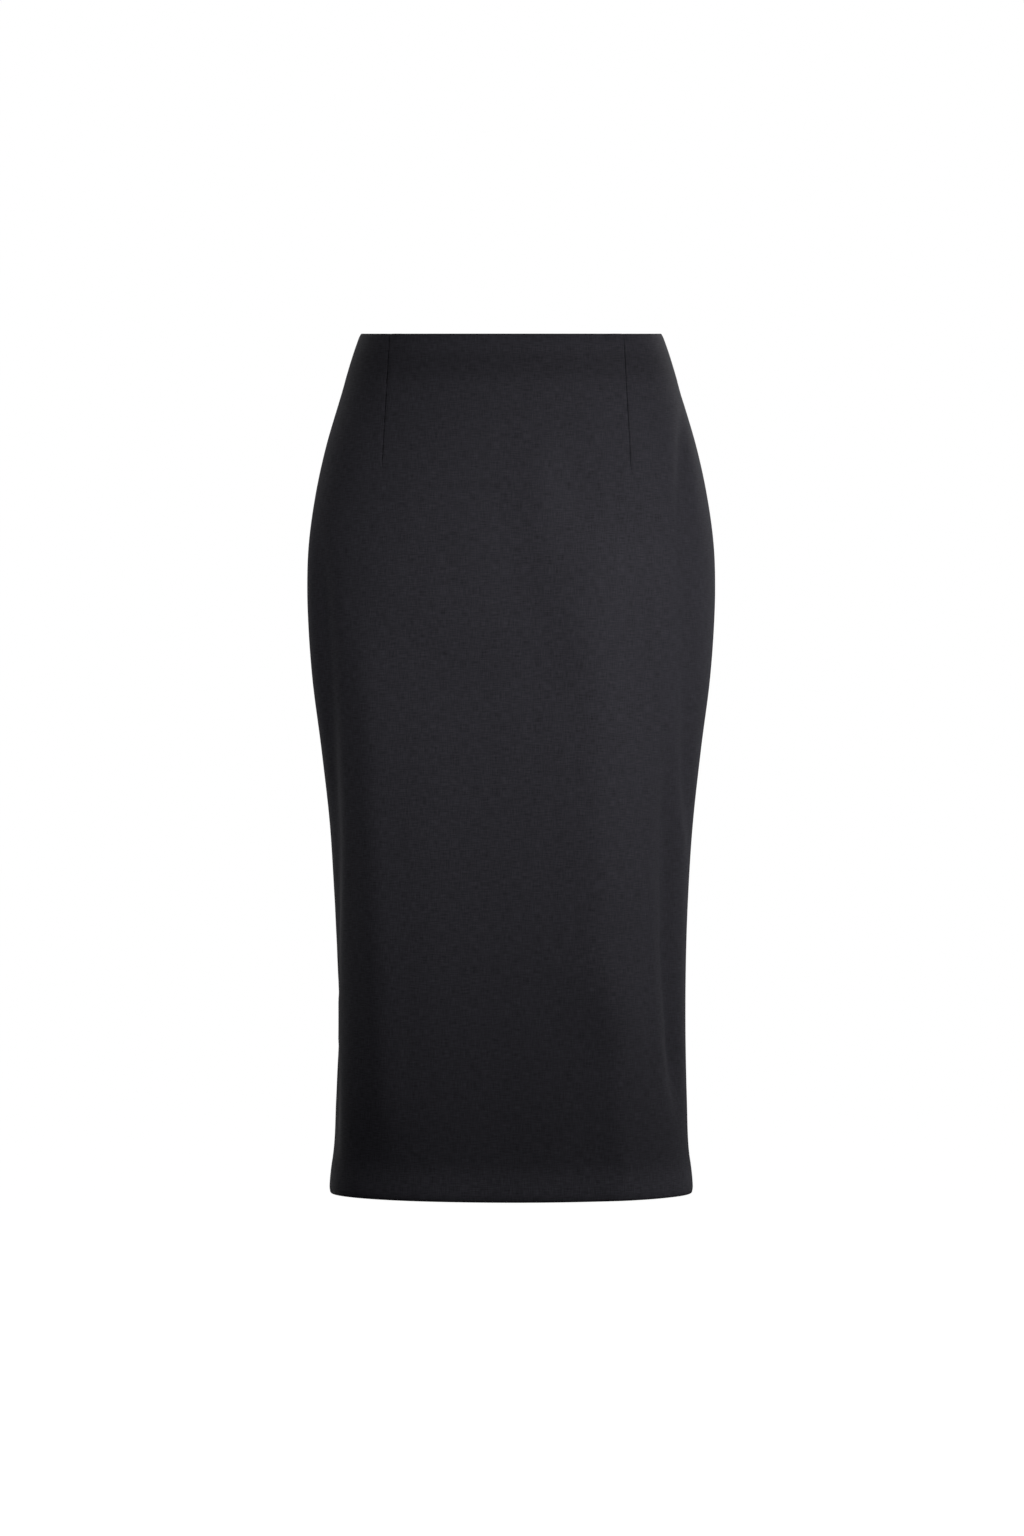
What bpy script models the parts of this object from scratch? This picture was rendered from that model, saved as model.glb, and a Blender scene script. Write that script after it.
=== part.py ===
"""A wool pencil skirt, filled out as worn: a front with two darts, and two backs that meet in a centre
back seam, with a concealed zip above and a vent below.

Run with: blender --background --python part.py
Metres, +Z up. The origin is the centre of the waist opening, the front faces -Y and +X is the wearer's left.
A place on the cloth is given by its drop below the waist and by its distance round the body, which is
measured along the cloth from the centre front: positive to the wearer's left, negative to the right.
"""

import math
from collections import namedtuple
from functools import lru_cache

import bmesh
import bpy
import numpy as np
from mathutils import Matrix, Vector

MM = 0.001

# ---- Driving dimensions ---------------------------------------------------------------------------
SIDE_LENGTH = 752 * MM  # waist edge to hem, down the side seam
WAIST_DIP = 8.2 * MM  # the waist edge is lower at the centre front than at the sides and back
DIP_FADES = 130 * MM  # the drop by which the rings are level
WALL = 2.0 * MM  # the suiting, as thick as it is with its turnings
SEAM_GAP = 0.3 * MM  # between two pieces that are sewn together
LAP_GAP = 0.6 * MM  # between two layers that lie on each other
EDGE_ROLL = 0.8 * MM  # how far the turned waist and hem edges roll in
ROLL_LENGTH = 4 * MM
SEAM_STRIP = 2.5 * MM  # the strip beside a seam that sinks towards it
SEAM_SINK = 0.4 * MM
DART_GROOVE = 1.8 * MM  # half the width of the crease along a dart
DART_SINK = 0.9 * MM
VENT_TOP = SIDE_LENGTH - 190 * MM  # the centre back seam ends here
VENT_OPENS = VENT_TOP + 6 * MM  # the top edge of the free underlap
VENT_UNDERLAP = 45 * MM
VENT_JOG = (5 * MM, 1.2 * MM)  # where the under layer starts and ends its step inwards
ZIP_LENGTH = 205 * MM
ZIP_TAPE = (1.2 * MM, 12 * MM)  # the tape's two edges, from the centre back
TAPE_WALL = 0.8 * MM
TAPE_INSET = 2.8 * MM  # from the outer face of the cloth to the tape
SLIDER_DROP = 16 * MM
NOTCH_HALF_WIDTH = 1.1 * MM  # the closed seam opens by this much round the slider's neck
NOTCH_HALF_HEIGHT = 4.5 * MM
NOTCH_ENDS = 1.5 * MM  # and closes again over this length

# A ring of the garment at each drop: half its width, its depth before and behind the side seams,
# and how square its corners are (2 is an ellipse).
Ring = namedtuple("Ring", "drop half_width front back square")
RINGS = [
    Ring(0, 131.6, 96.0, 91.0, 2.20),
    Ring(14, 136.6, 98.5, 93.5, 2.20),
    Ring(57, 149.5, 105.0, 102.0, 2.22),
    Ring(101, 162.3, 110.0, 113.0, 2.25),
    Ring(145, 171.7, 113.5, 122.0, 2.28),
    Ring(189, 177.4, 115.0, 127.0, 2.28),
    Ring(225, 178.4, 115.0, 128.0, 2.28),
    Ring(262, 177.1, 114.5, 126.0, 2.28),
    Ring(300, 174.2, 113.5, 122.5, 2.26),
    Ring(364, 166.1, 111.5, 116.0, 2.24),
    Ring(430, 158.9, 109.5, 111.0, 2.20),
    Ring(500, 154.5, 108.0, 108.0, 2.18),
    Ring(600, 152.5, 107.0, 106.0, 2.15),
    Ring(672, 153.8, 107.0, 106.0, 2.15),
    Ring(714, 155.4, 108.5, 107.0, 2.10),
    Ring(738, 158.3, 110.5, 108.5, 2.06),
    Ring(752, 159.2, 111.5, 109.0, 2.04),
]

# A dart's seam runs down from the waist. Its two ends are given by their distance from the centre
# line, as seen from straight in front or behind.
Dart = namedtuple("Dart", "panel top tip length")
DARTS = [
    Dart("front", -105.0, -111.0, 121),
    Dart("front", 97.0, 103.0, 127),
    Dart("back", -70.0, -76.0, 140),
    Dart("back", 70.0, 76.0, 140),
]

# Soft folds that run down the cloth: the distance of each end from the centre line, the drops where the
# fold starts and ends, how wide it is, and how high: a ridge is positive and a trough is negative.
Fold = namedtuple("Fold", "panel upper lower top bottom width height")
FOLDS = [
    Fold("front", 70, 76, 130, 640, 30, 7.0),
    Fold("front", 84, 108, 520, 800, 26, 5.5),
    Fold("front", 10, 62, 70, 330, 20, 3.0),
    Fold("front", 58, 62, 60, 200, 16, -2.0),
    Fold("front", -50, -12, 230, 800, 50, -6.0),
    Fold("front", -126, -104, 230, 740, 20, 4.0),
    Fold("front", -150, -150, 200, 900, 14, -4.0),
    Fold("front", 100, 118, 600, 900, 14, -2.0),
    Fold("front", 149, 153, 40, 420, 14, -5.0),
    Fold("front", 132, 132, 340, 690, 14, -8.0),
    Fold("front", 134, 143, 560, 900, 14, -6.0),
    Fold("back", -112, -104, 240, 760, 24, -3.5),
    Fold("back", -136, -130, 180, 620, 14, 1.8),
    Fold("back", 122, 112, 260, 800, 22, -3.5),
    Fold("back", 140, 146, 480, 900, 14, 1.8),
    Fold("back", -56, -46, 300, 660, 34, 3.0),
    Fold("back", 64, 48, 330, 580, 30, 3.5),
    Fold("back", -30, -74, 120, 330, 22, -1.6),
]
FOLD_ENDS = 90 * MM  # a fold rises from the cloth over this length, unless it runs on past the hem

CLOTH_COLOUR = (0.021, 0.020, 0.024, 1)
METAL_COLOUR = (0.025, 0.025, 0.028, 1)


# ---- The worn shape -------------------------------------------------------------------------------
def through(rows, column, drop):
    """A smooth curve through one column of a table, by Hermite pieces between its rows."""
    at = np.array([row.drop for row in rows]) * MM
    value = np.array([getattr(row, column) for row in rows], float)
    slope = np.gradient(value, at)
    drop = np.clip(drop, at[0], at[-1])
    i = np.clip(np.searchsorted(at, drop, side="right") - 1, 0, len(at) - 2)
    span = at[i + 1] - at[i]
    f = (drop - at[i]) / span
    rise = value[i] * (1 + 2 * f) * (1 - f) ** 2 + value[i + 1] * f**2 * (3 - 2 * f)
    return rise + span * (slope[i] * f * (1 - f) ** 2 - slope[i + 1] * f**2 * (1 - f))


def ease(x):
    """0 below 0, 1 above 1, and smooth between them."""
    x = np.clip(x, 0, 1)
    return x * x * (3 - 2 * x)


def body_point(drop, angle):
    """The smooth body at a drop and an angle. The angle is 0 at the centre front and a half turn at
    the centre back, positive to the wearer's left."""
    half = through(RINGS, "half_width", drop) * MM
    front = through(RINGS, "front", drop) * MM
    back = through(RINGS, "back", drop) * MM
    power = 2 / through(RINGS, "square", drop)
    sine, cosine = np.sin(angle), np.cos(angle)
    depth = np.where(cosine > 0, front, back)
    x = half * np.sign(sine) * np.abs(sine) ** power
    y = -depth * np.sign(cosine) * np.abs(cosine) ** power
    z = -drop - WAIST_DIP * np.clip(-y / front, 0, 1) * (1 - ease(drop / DIP_FADES))
    return np.stack(np.broadcast_arrays(x, y, z), axis=-1)


ANGLES = np.linspace(0, math.pi, 721)


@lru_cache(maxsize=None)
def half_girth(drop):
    """The distance round from the centre front to each of ANGLES, at one drop."""
    steps = np.diff(body_point(drop, ANGLES), axis=0)
    return np.concatenate([[0], np.cumsum(np.linalg.norm(steps, axis=1))])


def side_and_back(drop):
    """The distance round to the side seam and to the centre back, at one drop."""
    round_to = half_girth(drop)
    return np.interp(math.pi / 2, ANGLES, round_to), round_to[-1]


def angle_at(drop, round_to):
    """The angle of a place that lies round_to from the centre front. Past the centre back it goes on
    to the other side."""
    lengths = half_girth(drop)
    beyond = np.maximum(np.abs(round_to) - lengths[-1], 0)
    angle = np.interp(np.abs(round_to) - 2 * beyond, lengths, ANGLES)
    return np.where(beyond > 0, 2 * math.pi - angle, angle) * np.sign(round_to)


@lru_cache(maxsize=None)
def round_at(panel, drop, x):
    """The distance round of a place on the front or back that lies x from the centre line."""
    lengths = half_girth(drop)
    half = through(RINGS, "half_width", drop) * MM
    share = min(abs(x) / half, 1.0)
    angle = math.asin(share ** (through(RINGS, "square", drop) / 2))
    if panel == "back":
        angle = math.pi - angle
    return math.copysign(np.interp(angle, ANGLES, lengths), x)


def fold_height(drop, round_to):
    """How far the folds lift the cloth off the body, at one drop."""
    centre_back = half_girth(drop)[-1]
    past = np.abs(round_to) > centre_back
    round_to = np.where(past, round_to - 2 * centre_back * np.sign(round_to), round_to)
    lift = np.zeros_like(round_to)
    for fold in FOLDS:
        top, bottom = fold.top * MM, fold.bottom * MM
        along = min(max((drop - top) / (bottom - top), 0), 1)
        across = fold.upper + (fold.lower - fold.upper) * along
        from_line = round_to - round_at(fold.panel, drop, across * MM)
        rise = ease((drop - top) / FOLD_ENDS)
        fall = ease((bottom - drop) / FOLD_ENDS) if bottom < SIDE_LENGTH else 1
        lift += fold.height * MM * rise * fall * np.exp(-((from_line / (fold.width * MM)) ** 2))
    return lift


def cloth_points(drop, round_to, inset):
    """Points on the outer face of the cloth at one drop, moved inwards by inset."""
    step = 0.5 * MM
    angle = angle_at(drop, round_to)
    place = body_point(drop, angle)
    left, right = (body_point(drop, angle_at(drop, round_to + d)) for d in (step, -step))
    low, high = np.clip([drop + step, drop - step], 0, SIDE_LENGTH)
    down = body_point(low, angle) - body_point(high, angle)
    outward = np.cross(down, left - right)
    outward /= np.linalg.norm(outward, axis=1, keepdims=True)
    lift = fold_height(drop, round_to) - inset
    return place + outward * lift[:, None]


def edge_roll(drop):
    """How far the turned waist and hem edges roll in."""
    nearest = min(drop, SIDE_LENGTH - drop)
    return EDGE_ROLL * (1 - math.sqrt(max(0.0, 1 - (1 - min(nearest / ROLL_LENGTH, 1)) ** 2)))


def dart_groove(panel, drop, round_to):
    """The crease along each dart's seam, which runs out at the dart's tip."""
    sink = np.zeros_like(round_to)
    for dart in DARTS:
        if dart.panel == panel:
            from_line = np.abs(round_to - dart_line(dart, drop))
            fades = 1 - ease((drop / MM - 0.8 * dart.length) / (0.2 * dart.length))
            sink = np.maximum(sink, DART_SINK * fades * np.clip(1 - from_line / DART_GROOVE, 0, 1))
    return sink


def dart_line(dart, drop):
    """The distance round of a dart's seam. Below its tip the line goes on at the same share of the panel."""
    length = dart.length * MM
    along = min(drop / length, 1)
    if drop <= length:
        return round_at(dart.panel, drop, (dart.top + (dart.tip - dart.top) * along) * MM)
    side, centre_back = side_and_back(length)
    tip = round_at(dart.panel, length, dart.tip * MM)
    new_side, new_back = side_and_back(drop)
    if dart.panel == "front":
        return tip / side * new_side
    share = (centre_back - abs(tip)) / (centre_back - side)
    return math.copysign(new_back - share * (new_back - new_side), tip)


def spread(knots, counts):
    """Places from each knot to the next, in counts even steps."""
    steps = [np.linspace(a, b, n + 1)[:-1] for a, b, n in zip(knots, knots[1:], counts)]
    return np.concatenate([*steps, knots[-1:]])


# ---- Making meshes --------------------------------------------------------------------------------
def material(name, colour, roughness, metallic=0.0):
    made = bpy.data.materials.new(name)
    made.use_nodes = True
    shader = made.node_tree.nodes["Principled BSDF"]
    shader.inputs["Base Color"].default_value = colour
    shader.inputs["Roughness"].default_value = roughness
    shader.inputs["Metallic"].default_value = metallic
    return made


def place(name, mesh, finish, collection):
    made = bpy.data.objects.new(name, mesh)
    mesh.materials.append(finish)
    collection.objects.link(made)
    return made


def cloth_mesh(name, rows, flip):
    """A sheet through rows of points. A shorter row ends where the cloth above a flap ends."""
    build = bmesh.new()
    verts = [[build.verts.new(point) for point in row] for row in rows]
    for upper, lower in zip(verts, verts[1:]):
        for i in range(min(len(upper), len(lower)) - 1):
            corners = [upper[i], upper[i + 1], lower[i + 1], lower[i]]
            build.faces.new(corners[::-1] if flip else corners)
    mesh = bpy.data.meshes.new(name)
    build.to_mesh(mesh)
    build.free()
    mesh.shade_smooth()
    return mesh


def cloth_piece(name, rows, flip, wall, finish, collection):
    """A sheet of cloth made a wall that goes inwards from its outer face."""
    made = place(name, cloth_mesh(name, rows, flip), finish, collection)
    solid = made.modifiers.new("wall", "SOLIDIFY")
    solid.thickness = wall
    solid.offset = -1
    solid.use_even_offset = True
    return made


# ---- The panels -----------------------------------------------------------------------------------
# The drops of the rows of points in each panel, closer where the cloth bends more.
WAIST_DROPS = [0, 1.2, 4]
HIP_DROPS = [28, 45, 66, 90, 113, 140, 165, 190, 215, 240, 266, 294, 324, 356, 390, 425, 460, 490, 520, 542]
VENT_DROPS = [VENT_TOP / MM, VENT_OPENS / MM]
HEM_DROPS = [584, 606, 634, 664, 692, 714, 730, 741, 748, 750.8, 752]
FRONT_DROPS = WAIST_DROPS + [14] + HIP_DROPS + VENT_DROPS + HEM_DROPS
NOTCH_ROWS = [-NOTCH_HALF_HEIGHT - NOTCH_ENDS, -NOTCH_HALF_HEIGHT]
NOTCH_ROWS += [NOTCH_HALF_HEIGHT, NOTCH_HALF_HEIGHT + NOTCH_ENDS]
NOTCH_DROPS = [(SLIDER_DROP + row) / MM for row in NOTCH_ROWS]
BACK_DROPS = WAIST_DROPS + NOTCH_DROPS + HIP_DROPS + VENT_DROPS + HEM_DROPS


def seam_sink(from_edge):
    """The cloth sinks a little towards a seam."""
    return SEAM_SINK * np.clip(1 - np.abs(from_edge) / SEAM_STRIP, 0, 1) ** 2


def front_row(drop):
    side, _ = side_and_back(drop)
    edge = side - SEAM_GAP / 2
    darts = [dart_line(dart, drop) for dart in DARTS if dart.panel == "front"]
    knots = [-edge, -edge + SEAM_STRIP]
    for line in darts:
        knots += [line - DART_GROOVE, line, line + DART_GROOVE]
    knots += [edge - SEAM_STRIP, edge]
    places = spread(knots, [1, 7, 1, 1, 12, 1, 1, 7, 1])
    inset = edge_roll(drop) + dart_groove("front", drop, places)
    inset += seam_sink(places + edge) + seam_sink(edge - places)
    return cloth_points(drop, places, inset)


def centre_back_gap(drop):
    """Half the gap at the centre back: the sewn seam, opened round the slider's neck."""
    open_by = 1 - ease((abs(drop - SLIDER_DROP) - NOTCH_HALF_HEIGHT) / NOTCH_ENDS)
    return SEAM_GAP / 2 + (NOTCH_HALF_WIDTH - SEAM_GAP / 2) * open_by


def back_row(drop, side_of):
    """One ring of a back panel, from its side seam to the centre back. The wearer's right back, with
    side_of -1, goes on under the left one as the vent's underlap."""
    side, centre = side_and_back(drop)
    first, last = side + SEAM_GAP / 2, centre - centre_back_gap(drop)
    dart = [abs(dart_line(dart, drop)) for dart in DARTS if dart.panel == "back"][0]
    knots = [first, first + SEAM_STRIP, dart - DART_GROOVE, dart, dart + DART_GROOVE]
    knots += [centre - 14 * MM, centre - VENT_JOG[0], centre - VENT_JOG[1], last]
    places = spread(knots, [1, 7, 1, 1, 5, 1, 1, 1])
    inset = edge_roll(drop) + dart_groove("back", drop, places) + seam_sink(places - first)
    in_vent = drop > (VENT_TOP + VENT_OPENS) / 2
    if side_of < 0 and in_vent:
        under = spread([centre + 4 * MM, centre + VENT_UNDERLAP], [4])
        places = np.concatenate([places, under])
        inset = np.concatenate([inset, np.full(len(under), edge_roll(drop))])
        from_centre = centre - places
        share = np.clip((VENT_JOG[0] - from_centre) / (VENT_JOG[0] - VENT_JOG[1]), 0, 1)
        inset = inset + share * (WALL + LAP_GAP)
    elif not in_vent:
        inset = inset + seam_sink(places - last)
    return cloth_points(drop, side_of * places, inset)


def make_panels(finish, collection):
    front = [front_row(drop * MM) for drop in FRONT_DROPS]
    cloth_piece("front", front, True, WALL, finish, collection)
    for name, side_of in (("back_left", 1), ("back_right", -1)):
        rows = [back_row(drop * MM, side_of) for drop in BACK_DROPS]
        cloth_piece(name, rows, side_of > 0, WALL, finish, collection)


# ---- The concealed zip ----------------------------------------------------------------------------
TAPE_DROPS = [3 * MM, 10 * MM, *np.linspace(22 * MM, ZIP_LENGTH, 9)]


def make_tapes(finish, collection):
    """Two woven tapes inside the backs, one along each side of the closed seam."""
    for name, side_of in (("zip_tape_left", 1), ("zip_tape_right", -1)):
        rows = []
        for drop in TAPE_DROPS:
            _, centre = side_and_back(drop)
            places = centre - np.linspace(ZIP_TAPE[1], ZIP_TAPE[0], 4)
            rows.append(cloth_points(drop, side_of * places, TAPE_INSET))
        cloth_piece(name, rows, side_of > 0, TAPE_WALL, finish, collection)


def slider_frame():
    """The slider's place on the cloth at the centre back: x across, y up the cloth and z out of it."""
    reach = NOTCH_HALF_HEIGHT
    upper, middle, lower = (body_point(SLIDER_DROP + d, math.pi) for d in (-reach, 0, reach))
    up = Vector(upper - lower).normalized()
    across = Vector((-1, 0, 0))
    out = across.cross(up)
    turn = Matrix((across, up, out)).transposed().to_4x4()
    return Matrix.Translation(Vector(middle)) @ turn


PLATE = (4.4 * MM, 9.6 * MM, 0.8 * MM)  # what shows of the slider, on the cloth
PLATE_LIFT = 0.15 * MM
NECK = (1.6 * MM, 6.0 * MM)  # passes between the two folds of cloth
NECK_SINK = 0.4 * MM  # how far the neck goes into the plate and the body that it joins
TAPE_GAP = 0.4 * MM  # between the tapes and the slider's body
SLIDER_BODY = (8.0 * MM, 10.0 * MM, 3.6 * MM)  # rides on the coil, inside
CROWN_WIRE = 0.5 * MM
CROWN_REACH = 3.0 * MM  # from the slider's middle to each leg of the crown
CROWN_LIFT = 2.8 * MM
CROWN_CORNER = 0.6 * MM
PIVOT_LIFT = 1.1 * MM  # the pull's axis, above the plate
PULL_LENGTH = 21 * MM
PULL_THICKNESS = 1.0 * MM
PULL_HEAD = (2.0 * MM, 4.8 * MM)  # half its width, and how far it goes below the axis
PULL_ROUND = 2.7 * MM  # the radius of its lower end
PULL_WINDOW = (1.1 * MM, 4.3 * MM)  # half its width, and its lower end
PULL_CORNER = 0.3 * MM
WINDOW_CORNER = 0.5 * MM
PULL_REST = math.radians(3.3)  # the pull leans in until its end rests on the cloth


def block(name, size, centre, bevel, finish, collection):
    build = bmesh.new()
    bmesh.ops.create_cube(build, size=1)
    bmesh.ops.scale(build, vec=size, verts=build.verts)
    bmesh.ops.translate(build, vec=centre, verts=build.verts)
    mesh = bpy.data.meshes.new(name)
    build.to_mesh(mesh)
    build.free()
    made = place(name, mesh, finish, collection)
    if bevel:
        rounded = made.modifiers.new("rounded", "BEVEL")
        rounded.width = bevel
        rounded.segments = 2
    return made


def crown(finish, collection, base):
    """The small arch that holds the pull, as a bent wire made into a mesh."""
    wire = bpy.data.curves.new("crown", "CURVE")
    wire.dimensions = "3D"
    wire.bevel_depth = CROWN_WIRE
    wire.bevel_resolution = 2
    wire.use_fill_caps = True
    top, root = base + CROWN_LIFT, base - CROWN_WIRE
    half = [(CROWN_REACH - CROWN_CORNER, top), (CROWN_REACH, top - CROWN_CORNER), (CROWN_REACH, root)]
    route = [(0, -y, z) for y, z in reversed(half)] + [(0, y, z) for y, z in half]
    spline = wire.splines.new("POLY")
    spline.points.add(len(route) - 1)
    for point, co in zip(spline.points, route):
        point.co = (*co, 1)
    bent = bpy.data.objects.new("crown_wire", wire)
    collection.objects.link(bent)
    graph = bpy.context.evaluated_depsgraph_get()
    mesh = bpy.data.meshes.new_from_object(bent.evaluated_get(graph))
    bpy.data.objects.remove(bent)
    build = bmesh.new()
    build.from_mesh(mesh)
    bmesh.ops.remove_doubles(build, verts=build.verts, dist=0.001 * MM)
    build.to_mesh(mesh)
    build.free()
    return place("crown", mesh, finish, collection)


def make_slider(finish, collection, helpers, holder):
    """The slider: its body on the coil inside, its neck through the seam, and its plate and crown outside."""
    plate_base = PLATE_LIFT
    plate_top = plate_base + PLATE[2]
    body_top = -(TAPE_INSET + TAPE_WALL + TAPE_GAP)
    slider = block("zip_slider", PLATE, (0, 0, plate_base + PLATE[2] / 2), 0.3 * MM, finish, collection)
    neck_low, neck_high = body_top - NECK_SINK, plate_base + NECK_SINK
    neck_size = (*NECK, neck_high - neck_low)
    neck = block("neck", neck_size, (0, 0, (neck_low + neck_high) / 2), 0, finish, helpers)
    body = block("body", SLIDER_BODY, (0, 0, body_top - SLIDER_BODY[2] / 2), 0.8 * MM, finish, helpers)
    arch = crown(finish, helpers, plate_top)
    for other in (neck, body, arch):
        other.hide_render = True
        other.display_type = "WIRE"
        other.parent = holder
        join = slider.modifiers.new("join_" + other.name, "BOOLEAN")
        join.operation = "UNION"
        join.object = other
    slider.parent = holder
    return plate_top


def make_pull(finish, collection, holder, plate_top):
    """The drop-shaped pull, with a window that the crown passes through. Its origin is on its hinge axis."""
    shape = bpy.data.curves.new("zip_pull", "CURVE")
    shape.dimensions = "2D"
    shape.fill_mode = "BOTH"
    shape.extrude = PULL_THICKNESS / 2
    bar = PULL_THICKNESS / 2
    (wide, low), corner = PULL_HEAD, PULL_CORNER
    head = [(wide - corner, bar), (wide, bar - corner), (wide, -low)]
    centre = PULL_ROUND - PULL_LENGTH
    arc = [math.radians(a) for a in range(10, -191, -20)]
    end = [(PULL_ROUND * math.cos(a), centre + PULL_ROUND * math.sin(a)) for a in arc]
    outline = [(-x, y) for x, y in reversed(head)] + head + end
    (wide, low), corner = PULL_WINDOW, WINDOW_CORNER
    half = [(wide - corner, -low), (wide, corner - low), (wide, -bar)]
    window = [(-x, y) for x, y in reversed(half)] + half
    for points in (outline, window):
        spline = shape.splines.new("POLY")
        spline.points.add(len(points) - 1)
        for point, (x, y) in zip(spline.points, points):
            point.co = (x, y, 0, 1)
        spline.use_cyclic_u = True
    shape.materials.append(finish)
    pull = bpy.data.objects.new("zip_pull", shape)
    collection.objects.link(pull)
    pull.location = (0, 0, plate_top + PIVOT_LIFT)
    pull.rotation_euler = (PULL_REST, 0, 0)
    pull.parent = holder


def main():
    for old in list(bpy.data.objects):
        bpy.data.objects.remove(old)
    skirt = bpy.data.collections.new("pencil_skirt")
    helpers = bpy.data.collections.new("joined_shapes")
    for collection in (skirt, helpers):
        bpy.context.scene.collection.children.link(collection)
    suiting = material("suiting", CLOTH_COLOUR, 0.75)
    tape = material("zip_tape", CLOTH_COLOUR, 0.85)
    metal = material("zip_metal", METAL_COLOUR, 0.4, 0.6)
    make_panels(suiting, skirt)
    make_tapes(tape, skirt)
    holder = bpy.data.objects.new("slider_place", None)
    skirt.objects.link(holder)
    holder.matrix_world = slider_frame()
    plate_top = make_slider(metal, skirt, helpers, holder)
    make_pull(metal, skirt, holder, plate_top)


main()
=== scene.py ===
"""A knee-length pencil skirt in near-black wool suiting, filled out as worn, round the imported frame."""

import math

import bpy
import numpy as np
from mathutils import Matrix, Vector


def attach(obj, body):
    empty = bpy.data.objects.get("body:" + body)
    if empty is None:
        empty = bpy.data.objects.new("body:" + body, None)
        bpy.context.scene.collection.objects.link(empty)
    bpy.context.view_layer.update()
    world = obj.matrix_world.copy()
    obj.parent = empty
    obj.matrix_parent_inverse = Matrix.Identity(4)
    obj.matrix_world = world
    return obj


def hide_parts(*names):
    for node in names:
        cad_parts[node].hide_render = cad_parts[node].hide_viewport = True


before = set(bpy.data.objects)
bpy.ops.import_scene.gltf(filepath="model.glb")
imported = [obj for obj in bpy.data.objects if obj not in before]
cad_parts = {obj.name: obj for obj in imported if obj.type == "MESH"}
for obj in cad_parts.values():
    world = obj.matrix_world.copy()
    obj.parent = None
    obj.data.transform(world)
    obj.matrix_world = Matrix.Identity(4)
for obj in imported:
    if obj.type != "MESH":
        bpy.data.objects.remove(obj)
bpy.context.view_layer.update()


# ---- The front ------------------------------------------------------------------------------------
# One piece of plain-weave suiting from side seam to side seam, with two darts from the waist. It is cut
# with its waist turning, its hem turning and its seam allowances in one, and they are pressed to the inside.
# The same steps of cloth serve for the backs.
MM = 0.001
SIDE_LENGTH = 752 * MM  # waist edge to hem, down the side seam
WAIST_DIP = 8.2 * MM  # the waist edge is lower at the centre front
DIP_FADES = 130 * MM  # and level from here down
CLOTH = 0.42 * MM  # one layer of pressed suiting
EDGE_FOLD = 1.0 * MM  # the radius of the waist and hem folds: two turned layers each side fit in it
SEAM_FOLD = 0.47 * MM  # the radius at which a seam allowance folds back
WAIST_TURNING = 43 * MM
HEM_TURNING = 29 * MM
SEAM_ALLOWANCE = 13 * MM
SEAM_GAP = 0.06 * MM

# A ring of the body in mm: drop, half its width, its depth before and behind the side seams, and how
# square its corners are (2 is an ellipse).
RINGS = np.array(
    [
        (0, 131.6, 96.0, 91.0, 2.20),
        (14, 136.6, 98.5, 93.5, 2.20),
        (57, 149.5, 105.0, 102.0, 2.22),
        (101, 162.3, 110.0, 113.0, 2.25),
        (145, 171.7, 113.5, 122.0, 2.28),
        (189, 177.4, 115.0, 127.0, 2.28),
        (225, 178.4, 115.0, 128.0, 2.28),
        (262, 177.1, 114.5, 126.0, 2.28),
        (300, 174.2, 113.5, 122.5, 2.26),
        (364, 166.1, 111.5, 116.0, 2.24),
        (430, 158.9, 109.5, 111.0, 2.20),
        (500, 154.5, 108.0, 108.0, 2.18),
        (600, 152.5, 107.0, 106.0, 2.15),
        (672, 153.8, 107.0, 106.0, 2.15),
        (714, 155.4, 108.5, 107.0, 2.10),
        (738, 158.3, 110.5, 108.5, 2.06),
        (752, 159.2, 111.5, 109.0, 2.04),
    ]
)
HALF_WIDTH, BEFORE, BEHIND, SQUARENESS = 1, 2, 3, 4  # the columns of RINGS after the drop

# Soft folds that run down the cloth, in mm: how far each end is from the centre line, the drops where
# the fold starts and ends, its width, and its height: a ridge is positive and a trough is negative.
FOLDS = {
    "front": [
        (70, 76, 130, 640, 30, 7.0),
        (84, 108, 520, 800, 26, 5.5),
        (10, 62, 70, 330, 20, 3.0),
        (58, 62, 60, 200, 16, -2.0),
        (24, 28, 20, 270, 12, 0.9),
        (-50, -12, 230, 800, 50, -6.0),
        (-126, -104, 230, 740, 20, 4.0),
        (-169, -152, 150, 480, 17, -5.5),
        (-152, -153, 400, 745, 12, -3.4),
        (100, 118, 600, 900, 14, -2.0),
        (148, 154, 40, 470, 11, -5.0),
        (137, 138, 340, 620, 14, -9.0),
        (138, 145, 540, 700, 13, -8.5),
    ],
    "back": [
        (-112, -104, 240, 760, 24, -3.5),
        (-136, -130, 180, 620, 12, 2.0),
        (122, 112, 260, 800, 22, -3.5),
        (140, 146, 480, 900, 9, 2.6),
        (-56, -46, 300, 660, 34, 3.0),
        (64, 48, 330, 580, 30, 3.5),
        (-30, -74, 120, 330, 22, -1.6),
    ],
}
FOLD_ENDS = 90 * MM
ANGLES = np.linspace(0, math.pi, 721)

# A dart's seam in mm: how far its top and its tip are from the centre line, and its length.
DARTS = {"front": [(-105.0, -111.0, 121), (97.0, 103.0, 127)], "back": [(70.0, 76.0, 140)]}


def ease(x):
    """0 below 0, 1 above 1, and x * x * (3 - 2 * x) between them."""
    x = np.clip(x, 0, 1)
    return x * x * (3 - 2 * x)


def signed_power(value, power):
    """The size of each value to this power, with the value's own sign."""
    return np.sign(value) * np.abs(value) ** power


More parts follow.
